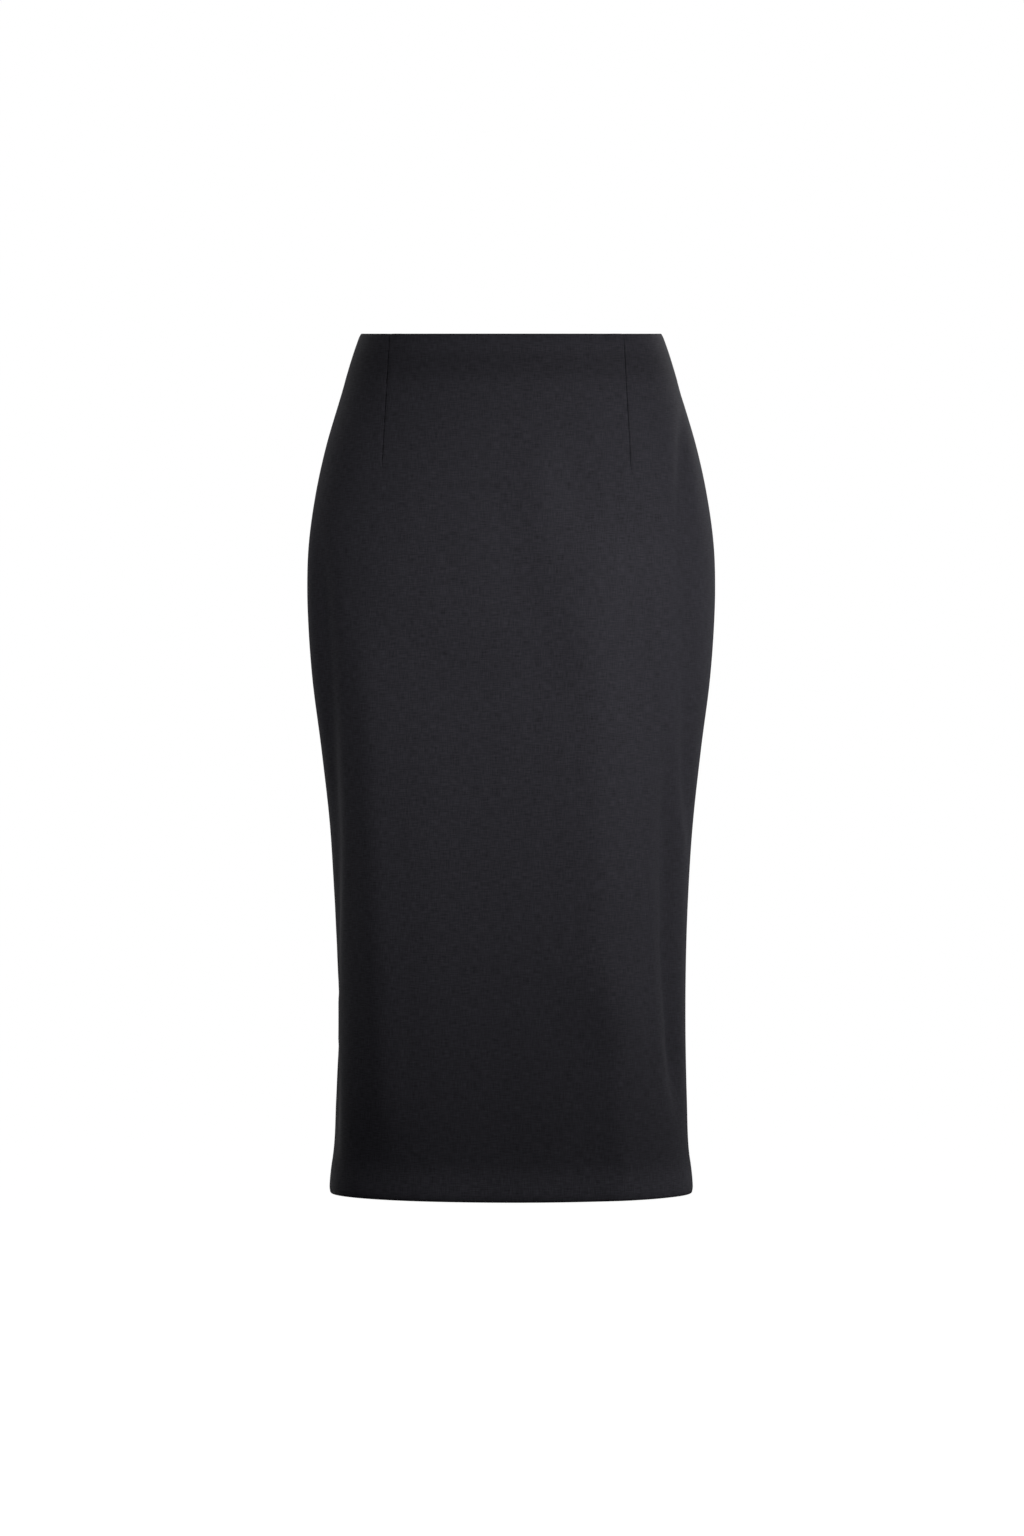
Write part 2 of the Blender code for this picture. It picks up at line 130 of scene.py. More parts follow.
def through(measure, drop):
    """A smooth curve through one column of RINGS: Hermite pieces, with the rows' own slopes."""
    at, value = RINGS[:, 0] * MM, RINGS[:, measure]
    slope = np.gradient(value, at)
    drop = np.clip(drop, at[0], at[-1])
    i = np.clip(np.searchsorted(at, drop, side="right") - 1, 0, len(at) - 2)
    span = at[i + 1] - at[i]
    f = (drop - at[i]) / span
    rise = value[i] * (1 + 2 * f) * (1 - f) ** 2 + value[i + 1] * f**2 * (3 - 2 * f)
    return rise + span * (slope[i] * f * (1 - f) ** 2 - slope[i + 1] * f**2 * (1 - f))


def body_point(drop, angle):
    """A superellipse at each drop: x = width * sin(angle) ** power and y = -depth * cos(angle) ** power,
    with their signs kept. The angle is 0 at the centre front and half a turn at the centre back."""
    half, before, behind = (through(measure, drop) * MM for measure in (HALF_WIDTH, BEFORE, BEHIND))
    power = 2 / through(SQUARENESS, drop)
    x = half * signed_power(np.sin(angle), power)
    y = -np.where(np.cos(angle) > 0, before, behind) * signed_power(np.cos(angle), power)
    z = -drop - WAIST_DIP * np.clip(-y / before, 0, 1) * (1 - ease(drop / DIP_FADES))
    return np.stack(np.broadcast_arrays(x, y, z), axis=-1)


class Rows:
    """Rows of points on the body, each at its own drop, with the girth measured along it."""

    def __init__(self, drops):
        self.drops = drops
        ring = body_point(drops[:, None], ANGLES)
        steps = np.linalg.norm(np.diff(ring, axis=1), axis=2)
        self.girth = np.hstack([np.zeros((len(drops), 1)), np.cumsum(steps, axis=1)])
        self.side = self.girth[:, len(ANGLES) // 2]
        self.centre_back = self.girth[:, -1]

    def angle_at(self, place):
        """The angle of each place, which is its distance round from the centre front. Past the centre
        back it goes on to the other side."""
        beyond = np.maximum(np.abs(place) - self.centre_back[:, None], 0)
        inner = np.abs(place) - 2 * beyond
        angle = np.array([np.interp(row, girth, ANGLES) for row, girth in zip(inner, self.girth)])
        return np.where(beyond > 0, 2 * math.pi - angle, angle) * np.sign(place)

    def place_of(self, panel, x):
        """The distance round of a line on the front or the back that lies x from the centre line."""
        share = np.minimum(np.abs(x) / (through(HALF_WIDTH, self.drops) * MM), 1)
        angle = np.arcsin(share ** (through(SQUARENESS, self.drops) / 2))
        angle = math.pi - angle if panel == "back" else angle
        place = [np.interp(a, ANGLES, girth) for a, girth in zip(angle, self.girth)]
        return np.sign(x) * np.array(place)

    def dart_line(self, panel, top, tip, length):
        """The distance round of a dart's seam. Below its tip the line keeps its share of the panel."""
        drops, length = self.drops, length * MM
        sewn = self.place_of(panel, (top + (tip - top) * np.minimum(drops / length, 1)) * MM)
        at_tip = Rows(np.array([length]))
        tip = at_tip.place_of(panel, np.array([tip * MM]))
        if panel == "front":
            below = tip / at_tip.side * self.side
        else:
            share = (at_tip.centre_back - tip) / (at_tip.centre_back - at_tip.side)
            below = self.centre_back - share * (self.centre_back - self.side)
        return np.where(drops <= length, sewn, below)

    def lift(self, place):
        """How far the soft folds lift the cloth. Each is a bell curve across and eases in and out."""
        centre_back, drop = self.centre_back[:, None], self.drops[:, None]
        past = np.abs(place) > centre_back
        place = np.where(past, place - 2 * centre_back * np.sign(place), place)
        total = np.zeros_like(place)
        for panel, folds in FOLDS.items():
            for upper, lower, top, bottom, width, height in folds:
                top, bottom = top * MM, bottom * MM
                along = np.clip((self.drops - top) / (bottom - top), 0, 1)
                line = self.place_of(panel, (upper + (lower - upper) * along) * MM)
                rise = ease((drop - top) / FOLD_ENDS)
                fall = ease((bottom - drop) / FOLD_ENDS) if bottom < SIDE_LENGTH else 1
                across = (place - line[:, None]) / (width * MM)
                total += height * MM * rise * fall * np.exp(-(across**2))
        return total


def on_body(rows, drop, place, depth):
    """Points that lie depth below the folded body, along the normal of the smooth body. The normal is
    the cross product of a short step down and a short step round."""
    step = 0.5 * MM
    angle = rows.angle_at(place)
    left, right = (body_point(drop, rows.angle_at(place + d)) for d in (step, -step))
    low, high = np.clip(drop + step, 0, SIDE_LENGTH), np.clip(drop - step, 0, SIDE_LENGTH)
    outward = np.cross(body_point(low, angle) - body_point(high, angle), left - right)
    outward /= np.linalg.norm(outward, axis=-1, keepdims=True)
    return body_point(drop, angle) + outward * (rows.lift(place) - depth)[..., None]


def spread(knots, counts):
    """Places from each knot to the next, in counts even steps. A knot is a number, or one for each row."""
    pieces = [a + (b - a) * np.arange(n) / n for a, b, n in zip(knots, knots[1:], counts)]
    return np.concatenate([*pieces, knots[-1]], axis=-1)


def column(values):
    """The values one below the other: one for each row of points."""
    return np.reshape(values, (-1, 1))


VENT_TOP = SIDE_LENGTH - 190 * MM  # the centre back seam ends here
VENT_OPENS = VENT_TOP + 6 * MM  # the top edge of the free underlap
# The face's rows are even between these drops, in mm, with so many steps from each to the next.
FACE_KNOTS = [1, 3, 10, 22, 40, 46, VENT_TOP / MM, VENT_OPENS / MM, 718, 727, 746, 751]
FACE_COUNTS = [3, 4, 8, 4, 4, 122, 1, 34, 5, 5, 5]
FOLD_STEPS = 7  # round each folded edge


def turned_rows():
    """Rows from the edge of the waist turning, over the waist fold, down the face and round the hem fold
    to the edge of the hem turning. For each: its length along the cloth, its drop where the cloth is
    flat, how far a fold swings it up or down, and the cosine of the turn there. The rows of a turning
    are given as shares of its depth."""
    half_turn = math.pi * EDGE_FOLD
    face = spread([np.array([k * MM]) for k in FACE_KNOTS], FACE_COUNTS)
    waist_in = np.array([1, 0.99, 0.8, 0.6, 0.4, 0.2, 0.08]) * WAIST_TURNING
    hem_in = np.array([0.08, 0.25, 0.5, 0.75, 0.99, 1]) * HEM_TURNING
    turn = np.linspace(0, math.pi, FOLD_STEPS + 1)
    waist_turn, hem_turn = turn[:0:-1], turn[1:]
    low = SIDE_LENGTH - EDGE_FOLD
    along = [EDGE_FOLD - half_turn - waist_in, EDGE_FOLD * (1 - waist_turn), face]
    along += [low + EDGE_FOLD * hem_turn, low + half_turn + hem_in]
    flat = [EDGE_FOLD + waist_in, EDGE_FOLD + 0 * waist_turn, face, low + 0 * hem_turn, low - hem_in]
    swing = [0 * waist_in, -np.sin(waist_turn), 0 * face, np.sin(hem_turn), 0 * hem_in]
    cosine = [0 * waist_in - 1, np.cos(waist_turn), 0 * face + 1, np.cos(hem_turn), 0 * hem_in - 1]
    return [column(np.concatenate(part)) for part in (along, flat, swing, cosine)]


length_down, flat_drop, fold_swing, fold_cosine = turned_rows()
rows = Rows(flat_drop.ravel())


def fold_back(place, low, high):
    """Carries the cloth round a half turn at each end, and back along its own inside: the new distance
    round, and the depth of the cloth's right side."""
    side = np.where(place > (low + high) / 2, 1, -1)
    start = np.where(side > 0, high - SEAM_FOLD, low + SEAM_FOLD)
    past = side * (place - start)
    turn = np.clip(past / SEAM_FOLD, 0, math.pi)
    beyond = np.maximum(past - math.pi * SEAM_FOLD, 0)
    folded = start + side * (SEAM_FOLD * np.sin(turn) - beyond)
    return np.where(past > 0, folded, place), SEAM_FOLD * (1 - np.cos(turn))


CREASE_HALF, CREASE_DEPTH = 0.7 * MM, 1.5 * MM  # the crease on a dart's seam: half its width, and its depth
CREASE_AT_EDGE, CREASE_WHOLE = 0.25, 6 * MM  # its share of that at the waist edge, and where it is whole
HOLLOW_HALF, HOLLOW_DEPTH = 7 * MM, 0.3 * MM  # the soft hollow round the crease, in the same way
DART_FADES, DART_GONE = 0.93, 1.02  # crease and hollow fade out between these shares of the dart's length
INTAKE_WIDTH = 11 * MM  # the folded cloth inside, at the waist. It lies towards the centre
INTAKE_TRACE, INTAKE_EDGE = 0.22 * MM, 2 * MM  # how far it presses the face out, and its soft edge


def dart_depth(place, line, drop, length, to_centre):
    """The crease on a dart's seam, the hollow round it, and the faint ridge of the intake pressed inside.
    to_centre is -1 where the centre line is at a smaller distance round than the dart, and 1 at the back."""
    length = length * MM
    across = place - line
    sewn = 1 - ease((drop - DART_FADES * length) / ((DART_GONE - DART_FADES) * length))
    crease = CREASE_DEPTH * np.clip(1 - np.abs(across) / CREASE_HALF, 0, 1) ** 1.5
    hollow = HOLLOW_DEPTH * np.clip(1 - np.abs(across) / HOLLOW_HALF, 0, 1) ** 2
    inward = to_centre * across * np.sign(line)
    width = INTAKE_WIDTH * np.clip(1 - drop / length, 0, 1)
    intake = INTAKE_TRACE * ease(inward / MM) * (1 - ease((inward - width) / INTAKE_EDGE))
    whole = CREASE_AT_EDGE + (1 - CREASE_AT_EDGE) * ease(drop / CREASE_WHOLE)
    return sewn * (whole * crease + hollow - intake)


SEAM_STRIP, SEAM_SINK = 2.5 * MM, 0.4 * MM  # the strip beside a seam that sinks towards it, and how far
TURNING_TRACE = 0.13 * MM  # the turned layers inside press the face out by this much
WAIST_STEP, HEM_STEP = 3 * MM, 4 * MM  # how long the face's step down past a turning's edge is
WAIST_ROLL = (5 * MM, 0.8 * MM)  # the waist edge curls in: over how much cloth, and how far
HEM_ROLL = (7 * MM, 1.3 * MM)


def seam_depth(from_edge):
    """The square of how far a point is into the strip beside a seam."""
    return SEAM_SINK * np.clip(1 - np.abs(from_edge) / SEAM_STRIP, 0, 1) ** 2


def turning_trace(drop):
    """The face stands a little higher over the waist and hem turnings, and steps down past their edges."""
    waist = 1 - ease((drop - WAIST_TURNING) / WAIST_STEP + 0.5)
    hem = ease((drop - (SIDE_LENGTH - HEM_TURNING)) / HEM_STEP + 0.5)
    return -TURNING_TRACE * (waist + hem)


def edge_roll(drop):
    """The square of how far a point is past the start of the waist edge's or the hem's curl."""
    curls = zip((drop, SIDE_LENGTH - drop), (WAIST_ROLL, HEM_ROLL))
    return sum(depth * np.clip(1 - from_edge / reach, 0, 1) ** 2 for from_edge, (reach, depth) in curls)


def cloth_points(place, seam_inset, face_depth, under=0):
    """Folds a panel at its waist and hem: each fold is a half circle about an axis EDGE_FOLD below the
    face, so a layer that already lies seam_inset deep goes round it on a smaller circle. face_depth is
    for the outer layer alone, and under is how deep the whole panel lies below its neighbour."""
    inner = EDGE_FOLD - seam_inset
    drop = flat_drop + fold_swing * inner
    on_face = (fold_cosine > 0) & (seam_inset <= SEAM_FOLD)
    depth = EDGE_FOLD - fold_cosine * inner + np.where(on_face, face_depth, 0)
    return on_body(rows, drop, place, depth + under + edge_roll(drop))


def lay_flat(across):
    """Where the points of a panel lie on the unsewn cloth: how far across it, and how far down it."""
    return np.stack(np.broadcast_arrays(across, -length_down), axis=-1)


def cloth_mesh(name, points, laid_flat, cut):
    """A mesh of four-sided faces through a grid of points. laid_flat is where each point lies on the
    unsewn cloth, in metres, and becomes the UV map. A cell where cut is true has no cloth."""
    height, width = points.shape[:2]
    number = np.arange(height * width).reshape(height, width)
    corners = [number[:-1, :-1], number[1:, :-1], number[1:, 1:], number[:-1, 1:]]
    faces = np.stack(corners, axis=-1)
    faces = faces.reshape(-1, 4) if cut is None else faces[~cut]
    used, faces = np.unique(faces, return_inverse=True)
    faces = faces.reshape(-1, 4)
    mesh = bpy.data.meshes.new(name)
    mesh.from_pydata(points.reshape(-1, 3)[used].tolist(), [], faces.tolist())
    cloth_uv = mesh.uv_layers.new(name="cloth")
    cloth_uv.uv.foreach_set("vector", laid_flat.reshape(-1, 2)[used][faces.ravel()].ravel())
    mesh.shade_smooth()
    return mesh


def cut_size(laid_flat, cut):
    """The width and length of the unsewn piece, and its area: half the cross product of the two
    diagonals of each cell."""
    down = laid_flat[1:, 1:] - laid_flat[:-1, :-1]
    up = laid_flat[:-1, 1:] - laid_flat[1:, :-1]
    cells = np.abs(down[..., 0] * up[..., 1] - down[..., 1] * up[..., 0]) / 2
    area = cells.sum() if cut is None else cells[~cut].sum()
    return tuple(np.ptp(laid_flat.reshape(-1, 2), axis=0)), area


def in_scene(name, mesh, material):
    """The mesh in this finish, as an object at the origin."""
    mesh.materials.append(material)
    made = bpy.data.objects.new(name, mesh)
    bpy.context.scene.collection.objects.link(made)
    return made


def cloth_piece(name, points, laid_flat, material, cut=None, thickness=CLOTH):
    """A panel as an object: a thin shell whose right side is the grid of points."""
    made = in_scene(name, cloth_mesh(name, points, laid_flat, cut), material)
    solid = made.modifiers.new("cloth", "SOLIDIFY")
    solid.thickness = thickness
    solid.offset = -1
    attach(made, "skirt")
    flat, area = cut_size(laid_flat, cut)
    return made


class Socket:
    """One output in a node tree. Sums of these add Math nodes."""

    def __init__(self, tree, output):
        self.tree = tree
        self.output = output

    def node(self, kind, inputs, settings=None, output=0):
        """Adds a node with its settings, then the values or links of its inputs, by name or number."""
        made = self.tree.nodes.new(kind)
        for key, value in (settings or {}).items():
            setattr(made, key, value)
        self.feed(made, inputs)
        return Socket(self.tree, made.outputs[output])

    def feed(self, node, inputs):
        """Gives each input of a node its value or its link."""
        for key, value in inputs.items():
            if isinstance(value, Socket):
                self.tree.links.new(value.output, node.inputs[key])
            else:
                node.inputs[key].default_value = value

    def beside(self, name):
        """Another output of the same node."""
        return Socket(self.tree, self.output.node.outputs[name])

    def math(self, operation, *values):
        """A Math node on sockets and numbers."""
        return self.node("ShaderNodeMath", dict(enumerate(values)), {"operation": operation})

    def __add__(self, other):
        return self.math("ADD", self, other)

    def __sub__(self, other):
        return self.math("SUBTRACT", self, other)

    def __rsub__(self, other):
        return self.math("SUBTRACT", other, self)

    def __mul__(self, other):
        return self.math("MULTIPLY", self, other)

    __radd__ = __add__
    __rmul__ = __mul__


def new_material(name):
    """A material with its Principled shader, and the shader's tree as a Socket to build on."""
    made = bpy.data.materials.new(name)
    made.use_nodes = True
    shader = made.node_tree.nodes["Principled BSDF"]
    return made, shader, Socket(made.node_tree, None)


def cloth_place(tree):
    """The cloth's own UV map, and its two parts: across and along the unsewn cloth, in metres."""
    uv = tree.node("ShaderNodeUVMap", {}, {"uv_map": "cloth"})
    across = tree.node("ShaderNodeSeparateXYZ", {0: uv}, output="X")
    return uv, across, across.beside("Y")


def tinted(tree, colour, tone):
    """The colour times a grey tone."""
    grey = tree.node("ShaderNodeCombineXYZ", {0: tone, 1: tone, 2: tone})
    return tree.node("ShaderNodeVectorMath", {0: grey, 1: colour}, {"operation": "MULTIPLY"})


YARN = 0.46 * MM  # from one yarn to the next
SLUB = (0.75 * MM, 9 * MM)  # how wide and how long the uneven places in a yarn are
SUITING = (0.0232, 0.0225, 0.0275)
# Painted shade and a painted highlight lie in bands across the face, for how the light falls there. For
# each:
# the drops, in mm, where it starts, is whole, starts to end and is gone, and how much lighter it is.
WAIST_BAND, WAIST_PAINTED_SHADE = (10, 24, 32, 50), -0.18  # painted shade, darker over the waist turning
ABOVE_HEM, ABOVE_HEM_PAINTED_SHADE = (640, 708, 716, 732), -0.07  # painted shade, a little darker
HEM_BAND, HEM_PAINTED_HIGHLIGHT = (716, 741, 749, 752), 0.38  # a painted highlight, lighter over the hem turning


def suiting_material():
    """Plain weave: warp and weft yarns that pass over and under, each with its own uneven places. The
    height is the higher of two sets of waves, one for each way of the yarn, half a turn apart."""
    made, shader, tree = new_material("suiting")
    _, u, v = cloth_place(tree)
    warp, weft = (tree.math("SINE", place * (math.pi / YARN)) for place in (u, v))
    over = warp * weft * 0.5
    warp_height = tree.math("ABSOLUTE", warp) * (0.5 + over)
    weft_height = tree.math("ABSOLUTE", weft) * (0.5 - over)
    height = tree.math("MAXIMUM", warp_height, weft_height)

    def yarns(width, length, detail):
        """Noise that is narrow across the yarn and long along it."""
        scaled = tree.node("ShaderNodeCombineXYZ", {0: u * (1 / width), 1: v * (1 / length)})
        noise = {"Vector": scaled, "Scale": 1.0, "Detail": detail, "Roughness": 0.55}
        return tree.node("ShaderNodeTexNoise", noise, {"noise_dimensions": "2D"})

    warp_yarn = yarns(*SLUB, 1.0)
    weft_yarn = yarns(*reversed(SLUB), 1.0)
    shade = (warp_yarn - 0.5) * 0.75 + (weft_yarn - 0.5) * 0.85
    mottle = yarns(35 * MM, 60 * MM, 2.0) - 0.5

    def past(low, high):
        """0 above the first drop, 1 below the second, and a soft step between them."""
        ends = {"Value": v, "From Min": -low * MM, "From Max": -high * MM}
        return tree.node("ShaderNodeMapRange", ends, {"interpolation_type": "SMOOTHSTEP"})

    def band(starts, whole, fades, gone):
        """1 in the middle of a band across the cloth, and 0 above and below it."""
        return past(starts, whole) * (1 - past(fades, gone))

    # Painted shade over the waist turning and above the hem, and a painted highlight over the hem turning,
    # all in the base colour.
    waist = band(*WAIST_BAND) * (0.75 + mottle * 0.8) * WAIST_PAINTED_SHADE
    above_hem_painted_shade = band(*ABOVE_HEM) * (0.5 + mottle * 2.5) * ABOVE_HEM_PAINTED_SHADE
    painted_light_bands = band(*HEM_BAND) * HEM_PAINTED_HIGHLIGHT + waist + above_hem_painted_shade
    tone = (1 + shade + mottle * 0.12) * (1 + painted_light_bands)
    bump = {"Strength": 0.35, "Distance": 0.06 * MM, "Height": height + shade * 1.2}
    finish = {
        "Base Color": tinted(tree, SUITING, tone),
        "Normal": tree.node("ShaderNodeBump", bump),
        "Roughness": 0.82,
        "Specular IOR Level": 0.06,
        "Sheen Weight": 0.015,
        "Sheen Roughness": 0.5,
        "Sheen Tint": (0.8, 0.78, 0.9, 1),
    }
    tree.feed(shader, finish)
    return made


suiting = suiting_material()
EDGE_STRIP = 0.3 * MM  # the narrow columns along a raw edge
SIDE_COUNTS = [1, 5, FOLD_STEPS, 3]  # columns in that strip, the allowance, its fold and the sunk strip
DART_KNOTS = (-11, -1, 0, 1, 11)  # the columns crowd at a dart, in mm from its seam
DART_COUNTS = [4, 3, 3, 4]


def front():
    """The front, in columns that crowd at its seams and darts."""
    edge = column(rows.side) - SEAM_GAP / 2
    darts = [column(rows.dart_line("front", *dart)) for dart in DARTS["front"]]
    end = edge + (math.pi - 1) * SEAM_FOLD
    last = end + SEAM_ALLOWANCE
    near = [last, last - EDGE_STRIP, end, edge - SEAM_FOLD, edge - SEAM_STRIP]
    knots = [-place for place in near]
    for line in darts:
        knots += [line + d * MM for d in DART_KNOTS]
    knots += reversed(near)
    counts = [*SIDE_COUNTS, 32, *DART_COUNTS, 54, *DART_COUNTS, 32, *SIDE_COUNTS[::-1]]
    across = spread(knots, counts)
    place, seam_inset = fold_back(across, -edge, edge)
    depth = seam_depth(place + edge) + seam_depth(edge - place) + turning_trace(flat_drop)
    for line, (_, _, length) in zip(darts, DARTS["front"]):
        depth = depth + dart_depth(place, line, flat_drop, length, -1)
    points = cloth_points(place, seam_inset, depth)
    return cloth_piece("front_cloth", points, lay_flat(across), suiting), points


front_cloth, front_points = front()
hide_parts("front")


# ---- The backs ------------------------------------------------------------------------------------
# Two pieces of the same suiting, each with one dart, sewn together down the centre back. Below the seam
# the left back folds under along the vent's edge, and the right back goes on under it as the underlap.
CENTRE_ALLOWANCE = 16 * MM
VENT_FACING = 44 * MM  # the left back's turned edge in the vent
VENT_UNDERLAP = 45 * MM
UNDERLAP_HEM = 9 * MM
FACING_WIDENS = 14 * MM  # the allowance widens to the facing over this much
UNDERLAP_STARTS = 2 * MM  # past the centre
JOG_STARTS, JOG_ENDS = 5 * MM, 1.2 * MM  # the underlap's step inwards, from the centre
LAP_DEPTH = 2.6 * MM  # from the left back's face down to the underlap's
SLIDER_DROP = 16 * MM
NOTCH_HALF_WIDTH = 1.1 * MM  # the closed seam opens by this much round the slider's neck
NOTCH_HALF_HEIGHT = 4.5 * MM
NOTCH_ENDS = 1.5 * MM
CENTRE_STRIP = 14 * MM  # the columns crowd in this strip beside the centre
EXTENSION_COLUMNS = 26  # beyond the seam: the allowance, the facing or the underlap


def back(name, side_of):
    """A back, in columns from its side seam allowance to the far edge of its vent facing or underlap. Its
    centre edge folds in at the seam. Only in the vent does the right back's go on past the centre, step
    down under the left back, and fold in at the underlap's edge."""
    low = column(rows.side) + SEAM_GAP / 2
    centre = column(rows.centre_back)
    notch = 1 - ease((np.abs(flat_drop - SLIDER_DROP) - NOTCH_HALF_HEIGHT) / NOTCH_ENDS)
    seam = centre - SEAM_GAP / 2 - (NOTCH_HALF_WIDTH - SEAM_GAP / 2) * notch
    in_vent = flat_drop > (VENT_TOP + VENT_OPENS) / 2
    half_turn = math.pi * SEAM_FOLD
    first = low + SEAM_FOLD - half_turn
    ((top, tip, length),) = DARTS["back"]
    dart = column(rows.dart_line("back", top, tip, length))
    knots = [first - SEAM_ALLOWANCE, first - SEAM_ALLOWANCE + EDGE_STRIP, first, low + SEAM_FOLD]
    knots += [low + SEAM_STRIP, *(dart + d * MM for d in DART_KNOTS)]
    knots += [centre - CENTRE_STRIP, centre - JOG_STARTS, centre - JOG_ENDS, seam - SEAM_FOLD]
    counts = [*SIDE_COUNTS, 26, *DART_COUNTS, 14, 3, 4, 1]

    def folded_at_seam(allowance):
        """The columns' places where the centre edge folds in at the seam, with this allowance."""
        last = seam - SEAM_FOLD + half_turn
        ends = [last, last + allowance - EDGE_STRIP, last + allowance]
        return spread(knots + ends, counts + [FOLD_STEPS, EXTENSION_COLUMNS - FOLD_STEPS - 1, 1])

    if side_of > 0:
        widened = (VENT_FACING - CENTRE_ALLOWANCE) * ease((flat_drop - VENT_TOP) / FACING_WIDENS)
        across = folded_at_seam(CENTRE_ALLOWANCE + widened)
        high = seam
    else:
        fold = centre + VENT_UNDERLAP - SEAM_FOLD
        edge = fold + half_turn + UNDERLAP_HEM
        ends = [centre + UNDERLAP_STARTS, fold, fold + half_turn, edge - EDGE_STRIP, edge]
        underlap = spread(knots + ends, counts + [3, EXTENSION_COLUMNS - FOLD_STEPS - 7, FOLD_STEPS, 3, 1])
        across = np.where(in_vent, underlap, folded_at_seam(CENTRE_ALLOWANCE))
        high = np.where(in_vent, centre + VENT_UNDERLAP, seam)
    place, seam_inset = fold_back(across, low, high)
    closed = ~in_vent * seam_depth(seam - place)
    depth = seam_depth(place - low) + closed + turning_trace(flat_drop)
    depth = depth + dart_depth(place, dart, flat_drop, length, 1)
    under, cut = 0, None
    if side_of < 0:
        under = LAP_DEPTH * in_vent * ease((JOG_STARTS - (centre - place)) / (JOG_STARTS - JOG_ENDS))
        # Where the allowance ends and the underlap starts, the cloth is slit from just past the seam out.
        cut = np.zeros((len(across) - 1, across.shape[1] - 1), bool)
        cut[np.argmax(in_vent) - 1, sum(counts) + 1 :] = True
    points = cloth_points(side_of * place, seam_inset, depth, under)
    laid_flat = lay_flat(side_of * (across - centre))
    if side_of < 0:
        points, laid_flat, cut = points[:, ::-1], laid_flat[:, ::-1], cut[:, ::-1]
    return cloth_piece(name, points, laid_flat, suiting, cut), points


back_left_cloth, left_points = back("back_left_cloth", 1)
back_right_cloth, right_points = back("back_right_cloth", -1)
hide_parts("back_left")
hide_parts("back_right")


# ---- The zip's tapes ------------------------------------------------------------------------------
# Two strips of black polyester tape, woven with fine ribs down their length. Each is sewn to its centre
# back allowance, and bends in at the seam, where its half of the coil is woven to its edge.
ZIP_LENGTH = 205 * MM
TAPE_TOP = 3 * MM
TAPE_NEAR, TAPE_FAR = 1.2 * MM, 12 * MM  # a tape's edges, from the centre back
BEND_STARTS, BEND_LENGTH = 7.5 * MM, 5 * MM
TAPE_POINTS = (90, 14)  # down it and across it
TAPE = 0.5 * MM  # its thickness
ON_ALLOWANCE = 1.15 * MM  # how deep a tape lies on the allowance, on the waist turning and at the coil
ON_TURNING = 2.2 * MM
AT_COIL = 2.6 * MM
TURNING_RAMP = 6 * MM  # it comes down off the waist turning over this much
SLIDER_DIVE = 2.0 * MM  # the coil and the tapes' edges go this much deeper to pass through the slider
DIVE_FADES, DIVE_LENGTH = 19 * MM, 14 * MM  # from this drop, and over this much, they come back
TAPE_RIB = 0.5 * MM
TAPE_PICK = TAPE_RIB / 2.2
TAPE_BLACK = (0.018, 0.018, 0.020)


def on_inside(drop):
    """How deep a tape's flat part lies: on the allowance, and further in over the waist turning."""
    return ON_ALLOWANCE + (ON_TURNING - ON_ALLOWANCE) * (1 - ease((drop - WAIST_TURNING) / TURNING_RAMP))


def slider_dive(drop):
    """How much deeper the coil goes at this drop: all of it at the slider, and none below."""
    return SLIDER_DIVE * (1 - ease((drop - DIVE_FADES) / DIVE_LENGTH))


def tape_material():
    """Ribs down the tape and finer picks across it, as the product of two rows of waves."""
    made, shader, tree = new_material("zip_tape")
    uv, u, v = cloth_place(tree)
    rib = tree.math("ABSOLUTE", tree.math("SINE", u * (math.pi / TAPE_RIB)))
    pick = tree.math("ABSOLUTE", tree.math("SINE", v * (math.pi / TAPE_PICK)))
    height = rib * (0.6 + pick * 0.4)
    dust = tree.node("ShaderNodeTexNoise", {"Vector": uv, "Scale": 900.0, "Detail": 2.0})
    bump = {"Strength": 0.5, "Distance": 0.1 * MM, "Height": height}
    finish = {
        # The base colour is darker down the grooves between the ribs and picks: painted shade.
        "Base Color": tinted(tree, TAPE_BLACK, 0.6 + height * 0.5 + dust * 0.3),
        "Normal": tree.node("ShaderNodeBump", bump),
        "Roughness": 0.7,
        "Specular IOR Level": 0.2,
    }
    tree.feed(shader, finish)
    return made


zip_tape = tape_material()


def tape(name, side_of):
    """A tape on the body: flat on what it is sewn to, then curving in over the last few mm to the coil."""
    down, across = TAPE_POINTS
    tape_drop = column(np.linspace(TAPE_TOP, ZIP_LENGTH, down))
    tape_rows = Rows(tape_drop.ravel())
    from_centre = np.linspace(TAPE_FAR, TAPE_NEAR, across)
    flat_on = on_inside(tape_drop)
    bend = ease((BEND_STARTS - from_centre) / BEND_LENGTH)
    depth = flat_on + (AT_COIL + slider_dive(tape_drop) - flat_on) * bend
    points = on_body(tape_rows, tape_drop, side_of * (column(tape_rows.centre_back) - from_centre), depth)
    laid_flat = np.stack(np.broadcast_arrays(-side_of * from_centre, -tape_drop), axis=-1)
    if side_of < 0:
        points, laid_flat = points[:, ::-1], laid_flat[:, ::-1]
    made = cloth_piece(name, points, laid_flat, zip_tape, thickness=TAPE)
    return made


tape_left = tape("woven_tape_left", 1)
tape_right = tape("woven_tape_right", -1)
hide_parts("zip_tape_left")
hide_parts("zip_tape_right")


# ---- The zip's coil and stops ---------------------------------------------------------------------
# Each half is one nylon wire wound into flat loops. The loops of the two halves lie between each other,
# half a turn apart, and small cast stops end the row at the top and bottom.
COIL_TURN = 1.4 * MM
COIL_WIRE = 0.3 * MM
COIL_ENDS = (11 * MM, 200 * MM)
COIL_ACROSS = (0.85 * MM, 1.55 * MM)  # the middle of each loop from the centre back, and half its width
COIL_DEPTH = (3.8 * MM, 0.62 * MM)  # the same for its depth
COIL_STEPS, COIL_ROUND = 12, 6  # points in each turn, and round the wire


